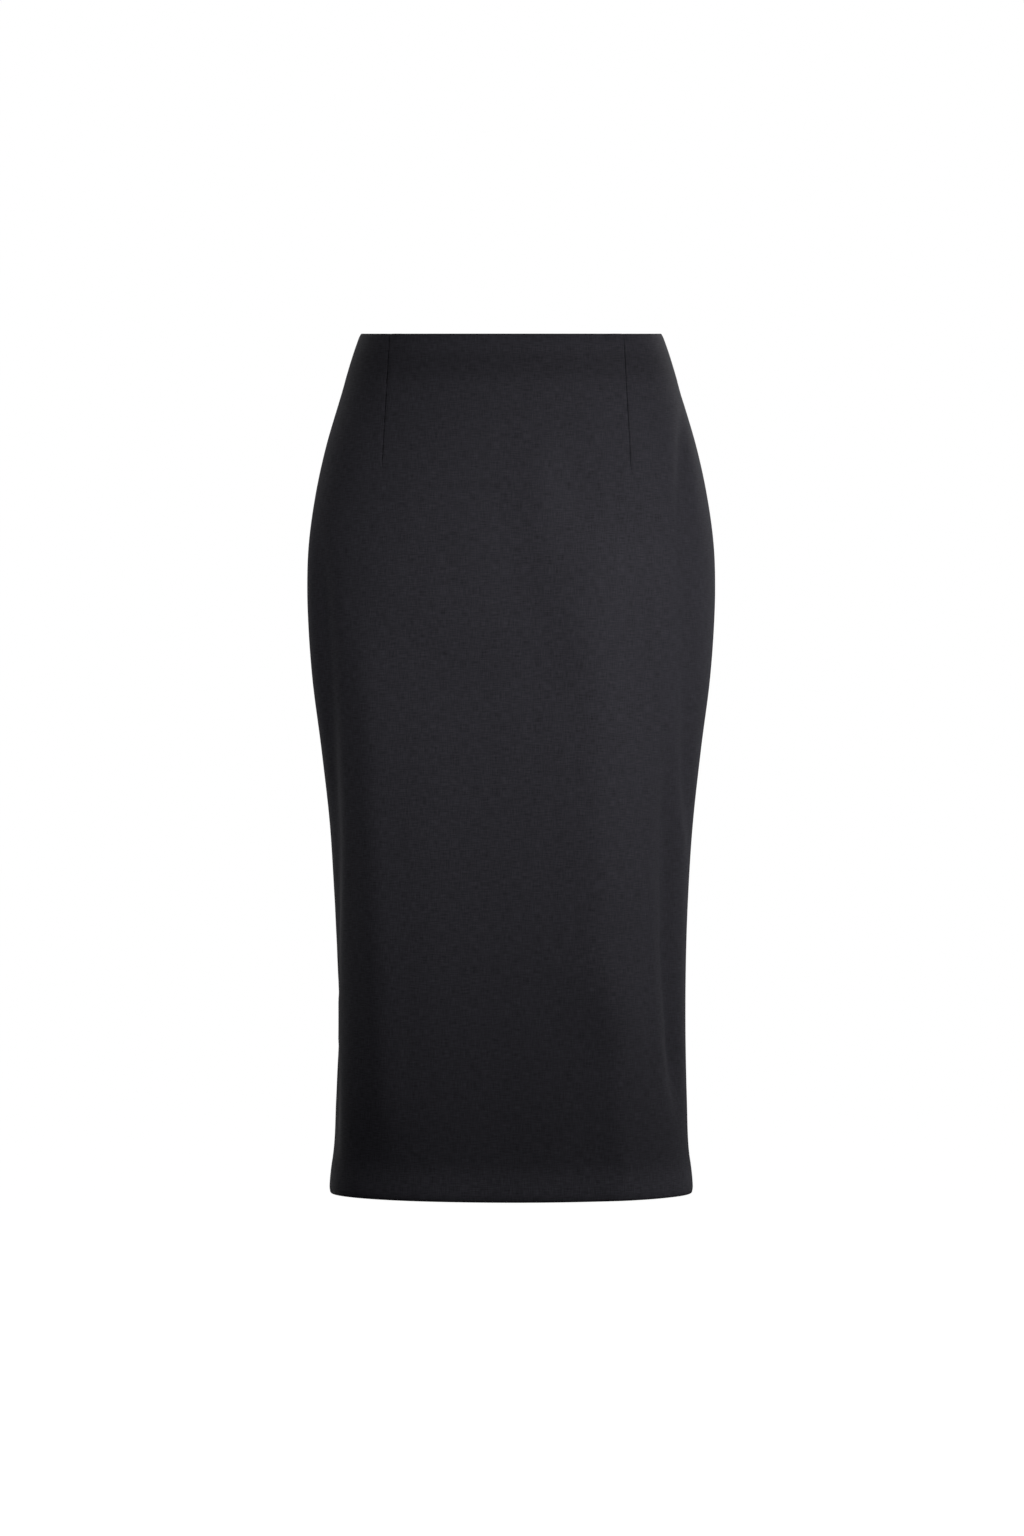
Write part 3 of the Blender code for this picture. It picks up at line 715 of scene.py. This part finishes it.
def shell_mesh(name, groups):
    """A mesh of closed shells. A group is an array of shells, rings along each shell, points round each
    ring, and coordinates. The end rings are filled, unless the last ring is the first one again."""
    points, faces, start = [], [], 0
    for rings in groups:
        loops = np.allclose(rings[:, 0], rings[:, -1])
        rings = rings[:, :-1] if loops else rings
        number = start + np.arange(rings[..., 0].size).reshape(rings.shape[:3])
        low, high = (number, np.roll(number, -1, 1)) if loops else (number[:, :-1], number[:, 1:])
        sides = np.stack([low, np.roll(low, -1, 2), np.roll(high, -1, 2), high], axis=-1)
        faces += sides.reshape(-1, 4).tolist()
        if not loops:
            faces += number[:, 0, ::-1].tolist() + number[:, -1].tolist()
        points.append(rings.reshape(-1, 3))
        start += rings[..., 0].size
    mesh = bpy.data.meshes.new(name)
    mesh.from_pydata(np.concatenate(points).tolist(), [], faces)
    mesh.shade_smooth()
    return mesh


def shell_piece(name, groups, material, body):
    """Shells as an object that rides on a body."""
    made = in_scene(name, shell_mesh(name, groups), material)
    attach(made, body)
    return made


def tube(paths, side, radius, points_round):
    """Circles across each path, in the plane of two unit vectors square to it: side with its part along
    the path taken off, and the cross product of the path's direction and that."""
    along = np.gradient(paths, axis=-2)
    along /= np.linalg.norm(along, axis=-1, keepdims=True)
    first = side - along * np.sum(side * along, axis=-1, keepdims=True)
    first /= np.linalg.norm(first, axis=-1, keepdims=True)
    second = np.cross(along, first)
    turn = column(np.arange(points_round) * 2 * math.pi / points_round)
    across = np.cos(turn) * first[..., None, :] + np.sin(turn) * second[..., None, :]
    return paths[..., None, :] + radius * across


def coil_half(name, side_of):
    """A helix with flat loops: it goes down evenly while it circles in an oval across the seam."""
    top, bottom = COIL_ENDS
    turns = int((bottom - top) / COIL_TURN) - 1
    phase = np.linspace(0, turns * 2 * math.pi, turns * COIL_STEPS + 1)
    coil_drop = top + COIL_TURN * (phase / (2 * math.pi) + (0.5 if side_of > 0 else 0))
    coil_rows = Rows(coil_drop)
    from_centre = COIL_ACROSS[0] + COIL_ACROSS[1] * np.cos(phase)
    depth = COIL_DEPTH[0] + slider_dive(coil_drop) + COIL_DEPTH[1] * np.sin(phase)
    place = side_of * (coil_rows.centre_back - from_centre)
    path = on_body(coil_rows, column(coil_drop), column(place), column(depth)).reshape(1, -1, 3)
    wire = tube(path, np.array((0, 0, 1.0)), COIL_WIRE, COIL_ROUND)
    shell_piece(name, [wire], coil_black, "skirt")


def speckled_black(name, colour, roughness, grain, depth):
    """A dark cast or drawn surface: fine noise in its tone, its gloss and its height."""
    made, shader, tree = new_material(name)
    here = tree.node("ShaderNodeTexCoord", {}, output="Object")
    noise = tree.node("ShaderNodeTexNoise", {"Vector": here, "Scale": 1 / grain, "Detail": 3.0})
    wear = tree.node("ShaderNodeTexNoise", {"Vector": here, "Scale": 0.12 / grain, "Detail": 4.0})
    finish = {
        "Base Color": tinted(tree, colour, 0.7 + noise * 0.35 + wear * 0.3),
        "Roughness": roughness - 0.08 + wear * 0.16,
        "Normal": tree.node("ShaderNodeBump", {"Strength": 0.3, "Distance": depth, "Height": noise}),
    }
    tree.feed(shader, finish)
    return made


coil_black = speckled_black("coil_nylon", (0.014, 0.014, 0.016), 0.35, 0.4 * MM, 0.02 * MM)
enamel = speckled_black("zip_enamel", (0.020, 0.020, 0.022), 0.3, 0.5 * MM, 0.03 * MM)
coil_half("coil_left", 1)
coil_half("coil_right", -1)


def zip_frame(drop):
    """The place on the cloth at the centre back, and its directions across, up and out of the cloth."""
    steps = (-NOTCH_HALF_HEIGHT, 0, NOTCH_HALF_HEIGHT)
    upper, middle, lower = (body_point(drop + step, math.pi) for step in steps)
    up = (upper - lower) / np.linalg.norm(upper - lower)
    across = np.array((-1.0, 0, 0))
    return middle, np.stack([across, up, np.cross(across, up)])


def on_zip(drop, local):
    """Points given across, up and out, in mm, placed on the cloth at the centre back."""
    origin, axes = zip_frame(drop)
    return origin + local * MM @ axes


def rounded_block(half, centre, corner, edge, taper=0.0):
    """Rings up a block, in mm: a superellipse across, whose size and height follow another one. A power
    near 0 is nearly square. taper makes the block wider towards its upper end."""
    turn = np.linspace(0, 2 * math.pi, 33)[:-1]
    lean = column(np.radians((-85, -65, -40, -15, 15, 40, 65, 85)))
    size, height = signed_power(np.cos(lean), edge), signed_power(np.sin(lean), edge)
    x = half[0] * signed_power(np.cos(turn), corner)
    y = half[1] * signed_power(np.sin(turn), corner)
    x = x * (1 + taper * y / half[1])
    rings = np.stack([size * x, size * y, height * half[2] * np.ones_like(turn)], axis=-1)
    return (rings + centre)[None]


# The top stop on each tape, and the bottom stop across both: the drop, halves of its size, and its centre.
STOPS = [
    (9.2 * MM, (1.0, 1.3, 0.9), (-2.0, 0, -5.4)),
    (9.2 * MM, (1.0, 1.3, 0.9), (2.0, 0, -5.4)),
    (201.5 * MM, (2.7, 2.0, 1.1), (0, 0, -3.9)),
]
stops = [on_zip(at, rounded_block(half, centre, 0.6, 0.5)) for at, half, centre in STOPS]
shell_piece("zip_stops", stops, enamel, "skirt")


# ---- The zip's slider -----------------------------------------------------------------------------
# A zinc casting in black enamel. Its body holds the coil between two flanges inside the skirt, its neck
# passes between the backs, and outside it has a small plate with the crown that the pull hangs from.
PLATE_BASE, PLATE_TOP = 0.15, 0.95  # in mm out from the cloth, like all heights here
CROWN_WIRE, CROWN_BEND = 0.5, 1.1  # the radius of its wire, and of its corners
CROWN_ROUND = 10  # points round its wire
CROWN_REACH = 3.0  # from its middle to its legs
CROWN_TOP = PLATE_TOP + 2.8
CROWN_FOOT = PLATE_TOP - 0.3
PIVOT = PLATE_TOP + 1.1
BODY_TOP, BODY_BASE = -4.0, -7.6
FLANGE = (4.0, 5.0, 0.5)  # halves of its size
RIM, RIM_UP = (0.45, 4.3, 0.7), BODY_BASE + 1.3  # the two rims that keep the coil in
# The casting's blocks: halves of the size, the centre, how square each is from outside and from the
# side, and how much wider it is at its upper end.
SLIDER_BLOCKS = [
    ((2.2, 4.8, (PLATE_TOP - PLATE_BASE) / 2), (0, 0, (PLATE_TOP + PLATE_BASE) / 2), 0.55, 0.4),  # plate
    ((1.4, 2.6, 0.3), (0, 0, PLATE_TOP), 0.7, 0.6),  # the crown's seat
    ((0.8, 3.0, 2.5), (0, 0, -1.95), 0.5, 0.15),  # neck
    (FLANGE, (0, 0, BODY_TOP - FLANGE[2]), 0.5, 0.3, 0.12),
    (FLANGE, (0, 0, BODY_BASE + FLANGE[2]), 0.5, 0.3, 0.12),
    ((0.9, 1.8, 1.6), (0, 2.6, (BODY_TOP + BODY_BASE) / 2), 0.9, 0.2),  # the wedge that parts the coil
    (RIM, (3.3, 0, RIM_UP), 0.5, 0.3),
    (RIM, (-3.3, 0, RIM_UP), 0.5, 0.3),
]


def crown_wire():
    """A wire arch over the plate: two legs and a bar, with its corners turned on quarter circles."""
    turn = np.radians(np.linspace(0, 90, 7))
    y = np.concatenate([[CROWN_REACH], CROWN_REACH - CROWN_BEND + CROWN_BEND * np.cos(turn), [0]])
    z = np.concatenate([[CROWN_FOOT], CROWN_TOP - CROWN_BEND + CROWN_BEND * np.sin(turn), [CROWN_TOP]])
    y, z = np.concatenate([y, -y[-2::-1]]), np.concatenate([z, z[-2::-1]])
    path = np.stack([0 * y, y, z], axis=-1)[None]
    return tube(path, np.array((1.0, 0, 0)), CROWN_WIRE, CROWN_ROUND)


casting = [*(rounded_block(*block) for block in SLIDER_BLOCKS), crown_wire()]
slider = [on_zip(SLIDER_DROP, block) for block in casting]
cast_slider = shell_piece("cast_slider", slider, enamel, "skirt")
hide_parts("zip_slider")


# ---- The zip's pull -------------------------------------------------------------------------------
# A drop-shaped tab in the same enamel, with a window at its upper end that the crown passes through. It
# turns on the crown, and at rest its lower end lies on the cloth.
PULL_LENGTH = 21.0  # in mm, from the crown's bar to its lower end
PULL_HALF = 0.5  # half its thickness
PULL_END, PULL_HEAD = 2.7, 2.0  # half its width at the lower end and at the head
WINDOW_HALF, WINDOW_END = 1.1, 4.3  # half the window's width, and how far down it goes
DISH = 0.18  # how deep its faces dish in
PULL_REST = math.radians(3.3)  # how far it leans in


def drop_shape():
    """Rings round the window: each goes from the window's edge out to the tab's edge and back, and is a
    superellipse across, so that both edges are rounded. The faces dish in a little between them."""
    turn = np.linspace(0, 2 * math.pi, 65)
    sine, cosine = np.sin(turn), np.cos(turn)
    middle = (PULL_HALF + WINDOW_END) / 2
    inner_y = -middle + (middle - PULL_HALF) * signed_power(cosine, 0.6)
    inner = np.stack([WINDOW_HALF * signed_power(sine, 0.6), inner_y], axis=-1)
    width = PULL_HEAD + (PULL_END - PULL_HEAD) * ease(0.5 - 0.5 * cosine)
    reach = (PULL_LENGTH - PULL_HALF) / 2
    outer_y = np.minimum(-reach + (PULL_LENGTH - reach) * signed_power(cosine, 0.8), PULL_HALF)
    outer = np.stack([width * signed_power(sine, 0.55), outer_y], axis=-1)
    across = np.linspace(0, 2 * math.pi, 21)[:-1]
    share = 0.5 - 0.5 * signed_power(np.cos(across), 0.7)
    flat = inner[:, None] + (outer - inner)[:, None] * column(share)
    wide = np.linalg.norm(outer - inner, axis=-1)
    dish = DISH * np.clip((wide - 3) / 4, 0, 1)[:, None] * np.sin(math.pi * share) ** 2
    thick = signed_power(np.sin(across), 0.5) * (PULL_HALF - dish)
    rings = np.concatenate([flat, thick[..., None]], axis=-1)
    return rings[None]


def pull():
    """Leans the tab in about the crown's bar, and puts it on the slider."""
    x, y, z = np.moveaxis(drop_shape(), -1, 0)
    sine, cosine = math.sin(PULL_REST), math.cos(PULL_REST)
    leaned = np.stack([x, y * cosine - z * sine, PIVOT + y * sine + z * cosine], axis=-1)
    return [on_zip(SLIDER_DROP, leaned)]


drop_pull = shell_piece("drop_pull", pull(), enamel, "pull")
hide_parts("zip_pull")


# ---- The darts' intakes ---------------------------------------------------------------------------
# The cloth taken up in each dart is folded flat inside, pressed towards the centre, and narrows to
# nothing at the dart's tip. It lies between the face and the waist turning.
INTAKE_STARTS, INTAKE_ENDS = 4 * MM, 0.97  # below the waist edge, and as a share of the dart's length
INTAKE_ROWS = 40
INTAKE_DEPTHS = (0.54, 1.38)  # in mm: two layers of cloth, from the wrong side of the face
CREASE_ROOM = 0.75  # it starts this far from the seam, beside the crease


def intake(panel, dart, side_of):
    """Rings down an intake: a strip with a rounded edge at its fold, of 8 points across and back. Also
    where the same points lie on the unsewn cloth."""
    length = dart[2] * MM
    drops = np.linspace(INTAKE_STARTS, INTAKE_ENDS * length, INTAKE_ROWS)
    its_rows = Rows(drops)
    line = column(its_rows.dart_line(panel, *dart))
    width = column(INTAKE_WIDTH / MM * (1 - drops / length))
    high, low = INTAKE_DEPTHS
    middle, flat = (high + low) / 2, np.maximum(width - 0.4, 0.05)
    across = [0 * width, flat, width - 0.1, width, width - 0.1, flat, 0 * width, 0 * width - 0.1]
    across = CREASE_ROOM + np.hstack([np.maximum(a, -0.1) for a in across])
    depth = np.array([high, high, high + 0.12, middle, low - 0.12, low, low, middle])
    to_centre = -np.sign(line) if panel == "front" else 1
    place = line + to_centre * across * MM
    rings = on_body(its_rows, column(drops), side_of * place, depth * MM)
    laid_flat = np.stack(np.broadcast_arrays(side_of * place, -column(drops)), axis=-1)
    return rings, laid_flat


def facing_out(rings):
    """The ring order that makes a shell's faces look outwards: anticlockwise, seen from its far end."""
    ring, following = rings[0], rings[1]
    spin = np.cross(ring - ring.mean(0), np.roll(ring, -1, 0) - ring.mean(0)).sum(0)
    return 1 if spin @ (following.mean(0) - ring.mean(0)) > 0 else -1


def intakes(name, panel, darts, side_of):
    """A panel's intakes as one piece, with the cloth's UV map."""
    shells = []
    for rings, flat in (intake(panel, dart, side_of) for dart in darts):
        way = facing_out(rings)
        shells.append((rings[:, ::way], flat[:, ::way]))
    made = shell_piece(name, [rings[None] for rings, _ in shells], suiting, "skirt")
    laid_flat = np.concatenate([flat.reshape(-1, 2) for _, flat in shells])
    corner = np.zeros(len(made.data.loops), int)
    made.data.loops.foreach_get("vertex_index", corner)
    made.data.uv_layers.new(name="cloth").uv.foreach_set("vector", laid_flat[corner].ravel())


intakes("front_intakes", "front", DARTS["front"], 1)
intakes("back_left_intake", "back", DARTS["back"], 1)
intakes("back_right_intake", "back", DARTS["back"], -1)


# ---- The sewing -----------------------------------------------------------------------------------
# Black polyester thread. The raw edges inside are overlocked, blind stitches hold the hem, machine
# stitches hold the zip's tapes, and a slanting row with a bar tack holds the top of the vent.
THREAD, THREAD_ROUND = 0.11 * MM, 4  # its radius, and the points round it
THREAD_BLACK = (0.021, 0.020, 0.024)
OVERLOCK_PITCH = 2.8 * MM
# One loop of overlocking in mm: how far along, how far in from the edge and how high over the cloth.
OVERLOCK_LOOP = [
    (0, 3.4, -0.15),
    (0.12, 3.2, 0.06),
    (1.15, 0.25, 0.1),
    (1.4, -0.15, -0.2),
    (1.65, 0.25, 0.1),
    (2.68, 3.2, 0.06),
]
# A hem stitch, in the same way. It goes from the turning up on to the wrong side of the face.
HEM_STITCH_PITCH = 8 * MM
HEM_STITCH = [(0, 2.3, -0.2), (0, 2.0, 0.08), (0.6, -0.1, 0.1), (1.5, -2.0, -1.5), (1.6, -2.3, -1.75)]
AHEAD = 0.5 * MM  # the step that gives an edge's direction
TAPE_STITCHES = 8.5 * MM  # from the centre
TAPE_STITCH_ENDS = (12 * MM, 8 * MM)  # from the waist edge, and from the tape's end
STITCH_PITCH = 2.8 * MM
STITCH = np.array([(0, 0.3), (0.12, -0.05), (2.0, -0.05), (2.12, 0.3)])  # how far along and how deep, in mm
VENT_ROW = (2.5 * MM, 41 * MM, 4 * MM, 0.5)  # from where to where from the centre, its start and its slope
BAR_TACK = (3 * MM, 0.9 * MM, 1 * MM)  # half its width and height, and how far it is below the seam's end
BAR_TACK_POINTS, BAR_TACK_DEPTH = 41, -0.08 * MM
SEAM_COLUMNS = sum(SIDE_COUNTS)  # the columns from a panel's side edge to its plain face
CENTRE_COLUMNS = EXTENSION_COLUMNS + 1  # and from a back's centre edge

thread = speckled_black("sewing_thread", THREAD_BLACK, 0.6, 0.3 * MM, 0.02 * MM)


def along_edge(edge, inner, hand, loop, pitch):
    """The same loop of thread again and again along an edge, given the next line of points inside it.
    hand is 1 where along times inward gives the cloth's right side, and -1 where it gives the other."""
    length = np.concatenate([[0], np.cumsum(np.linalg.norm(np.diff(edge, axis=0), axis=1))])
    starts = column(np.arange(pitch, length[-1] - 2 * pitch, pitch))
    ahead, in_from_edge, over = np.transpose(loop) * MM
    at = starts + ahead

    def on(line, at):
        """The points of a line at these lengths along the edge."""
        return np.stack([np.interp(at, length, line[:, i]) for i in range(3)], axis=-1)

    here, inside, further = on(edge, at), on(inner, at), on(edge, at + AHEAD)
    along = (further - here) / np.linalg.norm(further - here, axis=-1, keepdims=True)
    inward = inside - here
    inward -= along * np.sum(inward * along, axis=-1, keepdims=True)
    inward /= np.linalg.norm(inward, axis=-1, keepdims=True)
    out = hand * np.cross(along, inward)
    return here + inward * column(in_from_edge) + out * column(over), out


def overlock(edge, inner, hand):
    """One thread through all the loops."""
    path, out = along_edge(edge, inner, hand, OVERLOCK_LOOP, OVERLOCK_PITCH)
    return tube(path.reshape(1, -1, 3), out.reshape(1, -1, 3), THREAD, THREAD_ROUND)


def stitches_at(drops, place, depth):
    """Separate stitches through points given by drop, distance round and depth, one stitch in each row."""
    flat_rows = Rows(drops.ravel())
    paths = on_body(flat_rows, column(drops), column(place(flat_rows.centre_back)), column(depth))
    return tube(paths.reshape(*drops.shape, 3), np.array((1.0, 0, 0.3)), THREAD, THREAD_ROUND)


def tape_stitches(side_of):
    """A straight row down a tape, which goes through it into the allowance."""
    top, bottom = TAPE_STITCH_ENDS
    starts = column(np.arange(top, ZIP_LENGTH - bottom, STITCH_PITCH))
    drops = starts + STITCH[:, 0] * MM
    depth = on_inside(drops) + TAPE - STITCH[:, 1] * MM
    return stitches_at(drops, lambda centre: side_of * (centre - TAPE_STITCHES), depth)


def vent_row():
    """The slanting row on the left back, which goes down as it goes away from the centre."""
    near, far, start, slope = VENT_ROW
    sideways = math.cos(math.atan(slope))
    starts = column(np.arange(near, far, STITCH_PITCH * sideways))
    from_centre = starts + STITCH[:, 0] * MM * sideways
    drops = VENT_TOP + start + slope * from_centre
    depth = np.broadcast_to(STITCH[:, 1] * MM, drops.shape)
    return stitches_at(drops, lambda centre: centre - from_centre.ravel(), depth)


def bar_tack():
    """Close zigzag threads over the end of the centre back seam."""
    half_width, half_height, below = BAR_TACK
    from_centre = np.linspace(-half_width, half_width, BAR_TACK_POINTS)
    drops = VENT_TOP + below + half_height * np.cos(np.arange(BAR_TACK_POINTS) * math.pi)[None]
    return stitches_at(drops, lambda centre: centre - from_centre, np.full(drops.shape, BAR_TACK_DEPTH))


def sewing(name, points, face, raw_edges, extra):
    """The overlocking round a panel's raw edges, and its hem stitches. face is the range of columns
    between the seams, and each of raw_edges is the first or last column, with a range of drops."""
    groups = [
        overlock(points[0, face], points[1, face], -1),
        overlock(points[-1, face], points[-2, face], 1),
    ]
    for at_edge, top, bottom in raw_edges:
        free = (fold_cosine[:, 0] == 1) & (rows.drops > top) & (rows.drops < bottom)
        next_in, hand = (1, 1) if at_edge == 0 else (-2, -1)
        groups.append(overlock(points[free, at_edge], points[free, next_in], hand))
    path, out = along_edge(points[-1, face], points[-2, face], 1, HEM_STITCH, HEM_STITCH_PITCH)
    groups.append(tube(path, out, THREAD, THREAD_ROUND))
    shell_piece(name, groups + extra, thread, "skirt")


TOP_FREE, HEM_FREE = WAIST_TURNING + 3 * MM, SIDE_LENGTH - HEM_TURNING - 4 * MM  # clear of the turnings
both_edges = [(0, TOP_FREE, HEM_FREE), (-1, TOP_FREE, HEM_FREE)]
sewing("front_sewing", front_points, slice(SEAM_COLUMNS, -SEAM_COLUMNS), both_edges, [])
left_rows = [tape_stitches(1), vent_row(), bar_tack()]
sewing("back_left_sewing", left_points, slice(SEAM_COLUMNS, -CENTRE_COLUMNS), both_edges, left_rows)
right_edges = [
    (-1, TOP_FREE, HEM_FREE),
    (0, TOP_FREE, VENT_TOP - 2 * MM),
    (0, VENT_OPENS + 4 * MM, HEM_FREE),
]
right_face = slice(CENTRE_COLUMNS, -SEAM_COLUMNS)
sewing("back_right_sewing", right_points, right_face, right_edges, [tape_stitches(-1)])


# ---- The stage ------------------------------------------------------------------------------------
# A plain white floor below the hanging skirt, and a white room round it. Both are there for the eye
# alone: the light on the cloth comes from soft boxes in front, at the sides and behind.
# The floor glows evenly, so it shows no shadow.
FLOOR_DROP = 1.08  # in metres, below the waist
FLOOR_REACH = 30.0

floor_white, shader, tree = new_material("floor_white")
glow = {
    "Base Color": (0.9, 0.9, 0.9, 1),
    "Roughness": 1.0,
    "Specular IOR Level": 0.0,
    "Emission Color": (1, 1, 1, 1),
    "Emission Strength": 1.0,
}
tree.feed(shader, glow)
floor_mesh = bpy.data.meshes.new("floor")
corners = np.array([(-1, -1, 0), (1, -1, 0), (1, 1, 0), (-1, 1, 0)]) * FLOOR_REACH
floor_mesh.from_pydata((corners - (0, 0, FLOOR_DROP)).tolist(), [], [(0, 1, 2, 3)])
floor = in_scene("floor", floor_mesh, floor_white)
floor.visible_diffuse = False
floor.visible_glossy = False

BOX_SIDE = 0.4  # of each square soft box
BOX_SPREAD = math.radians(90)
LIT_POINT = Vector((0, 0, -0.35))  # which they all face
# Each one's name, place and power.
SOFT_BOXES = [
    ("left_side", (-0.877, -0.252, 0.0), 0.34),
    ("front_left", (-0.45, -0.829, -0.25), 0.5),
    ("front_right", (0.308, -0.896, 0.0), 1.2),
    ("right", (0.614, -0.708, 0.0), 0.77),
    ("right_side", (0.897, -0.128, 0.05), 0.62),
    ("low_right_side", (0.92, 0.02, -0.8), 0.68),
    ("low_behind_right", (0.62, 0.6, -0.75), 0.2),
    ("behind_right", (0.579, 0.639, 0.3), 1.25),
    ("behind_left", (-0.579, 0.639, 0.3), 0.7),
    ("low_behind_left", (-0.579, 0.639, -0.75), 0.5),
    ("behind", (0.1, 0.9, -0.3), 0.6),
]
for name, place, power in SOFT_BOXES:
    light = bpy.data.lights.new(name, "AREA")
    light.size = BOX_SIDE
    light.spread = BOX_SPREAD
    light.energy = power
    soft_box = bpy.data.objects.new(name, light)
    soft_box.location = place
    soft_box.rotation_euler = (LIT_POINT - Vector(place)).to_track_quat("-Z", "Y").to_euler()
    soft_box.visible_camera = False
    bpy.context.scene.collection.objects.link(soft_box)

CAMERA_PLACE = (0.0007, -4.5, -0.3807)
CAMERA_LENS, CAMERA_SENSOR = 120.5, 36  # in mm
camera = bpy.data.objects.new("camera", bpy.data.cameras.new("camera"))
camera.data.lens = CAMERA_LENS
camera.data.sensor_width = CAMERA_SENSOR
camera.location = CAMERA_PLACE
camera.rotation_euler = (math.pi / 2, 0, 0)
bpy.context.scene.collection.objects.link(camera)
bpy.context.scene.camera = camera

# The white room shows behind the skirt, but adds no light to it.
world = bpy.data.worlds.new("studio")
world.use_nodes = True
bpy.context.scene.world = world
room = Socket(world.node_tree, None)
seen = room.node("ShaderNodeLightPath", {}, output="Is Camera Ray")
room.feed(world.node_tree.nodes["Background"], {"Color": (1, 1, 1, 1), "Strength": seen})
bpy.context.scene.view_settings.view_transform = "Standard"
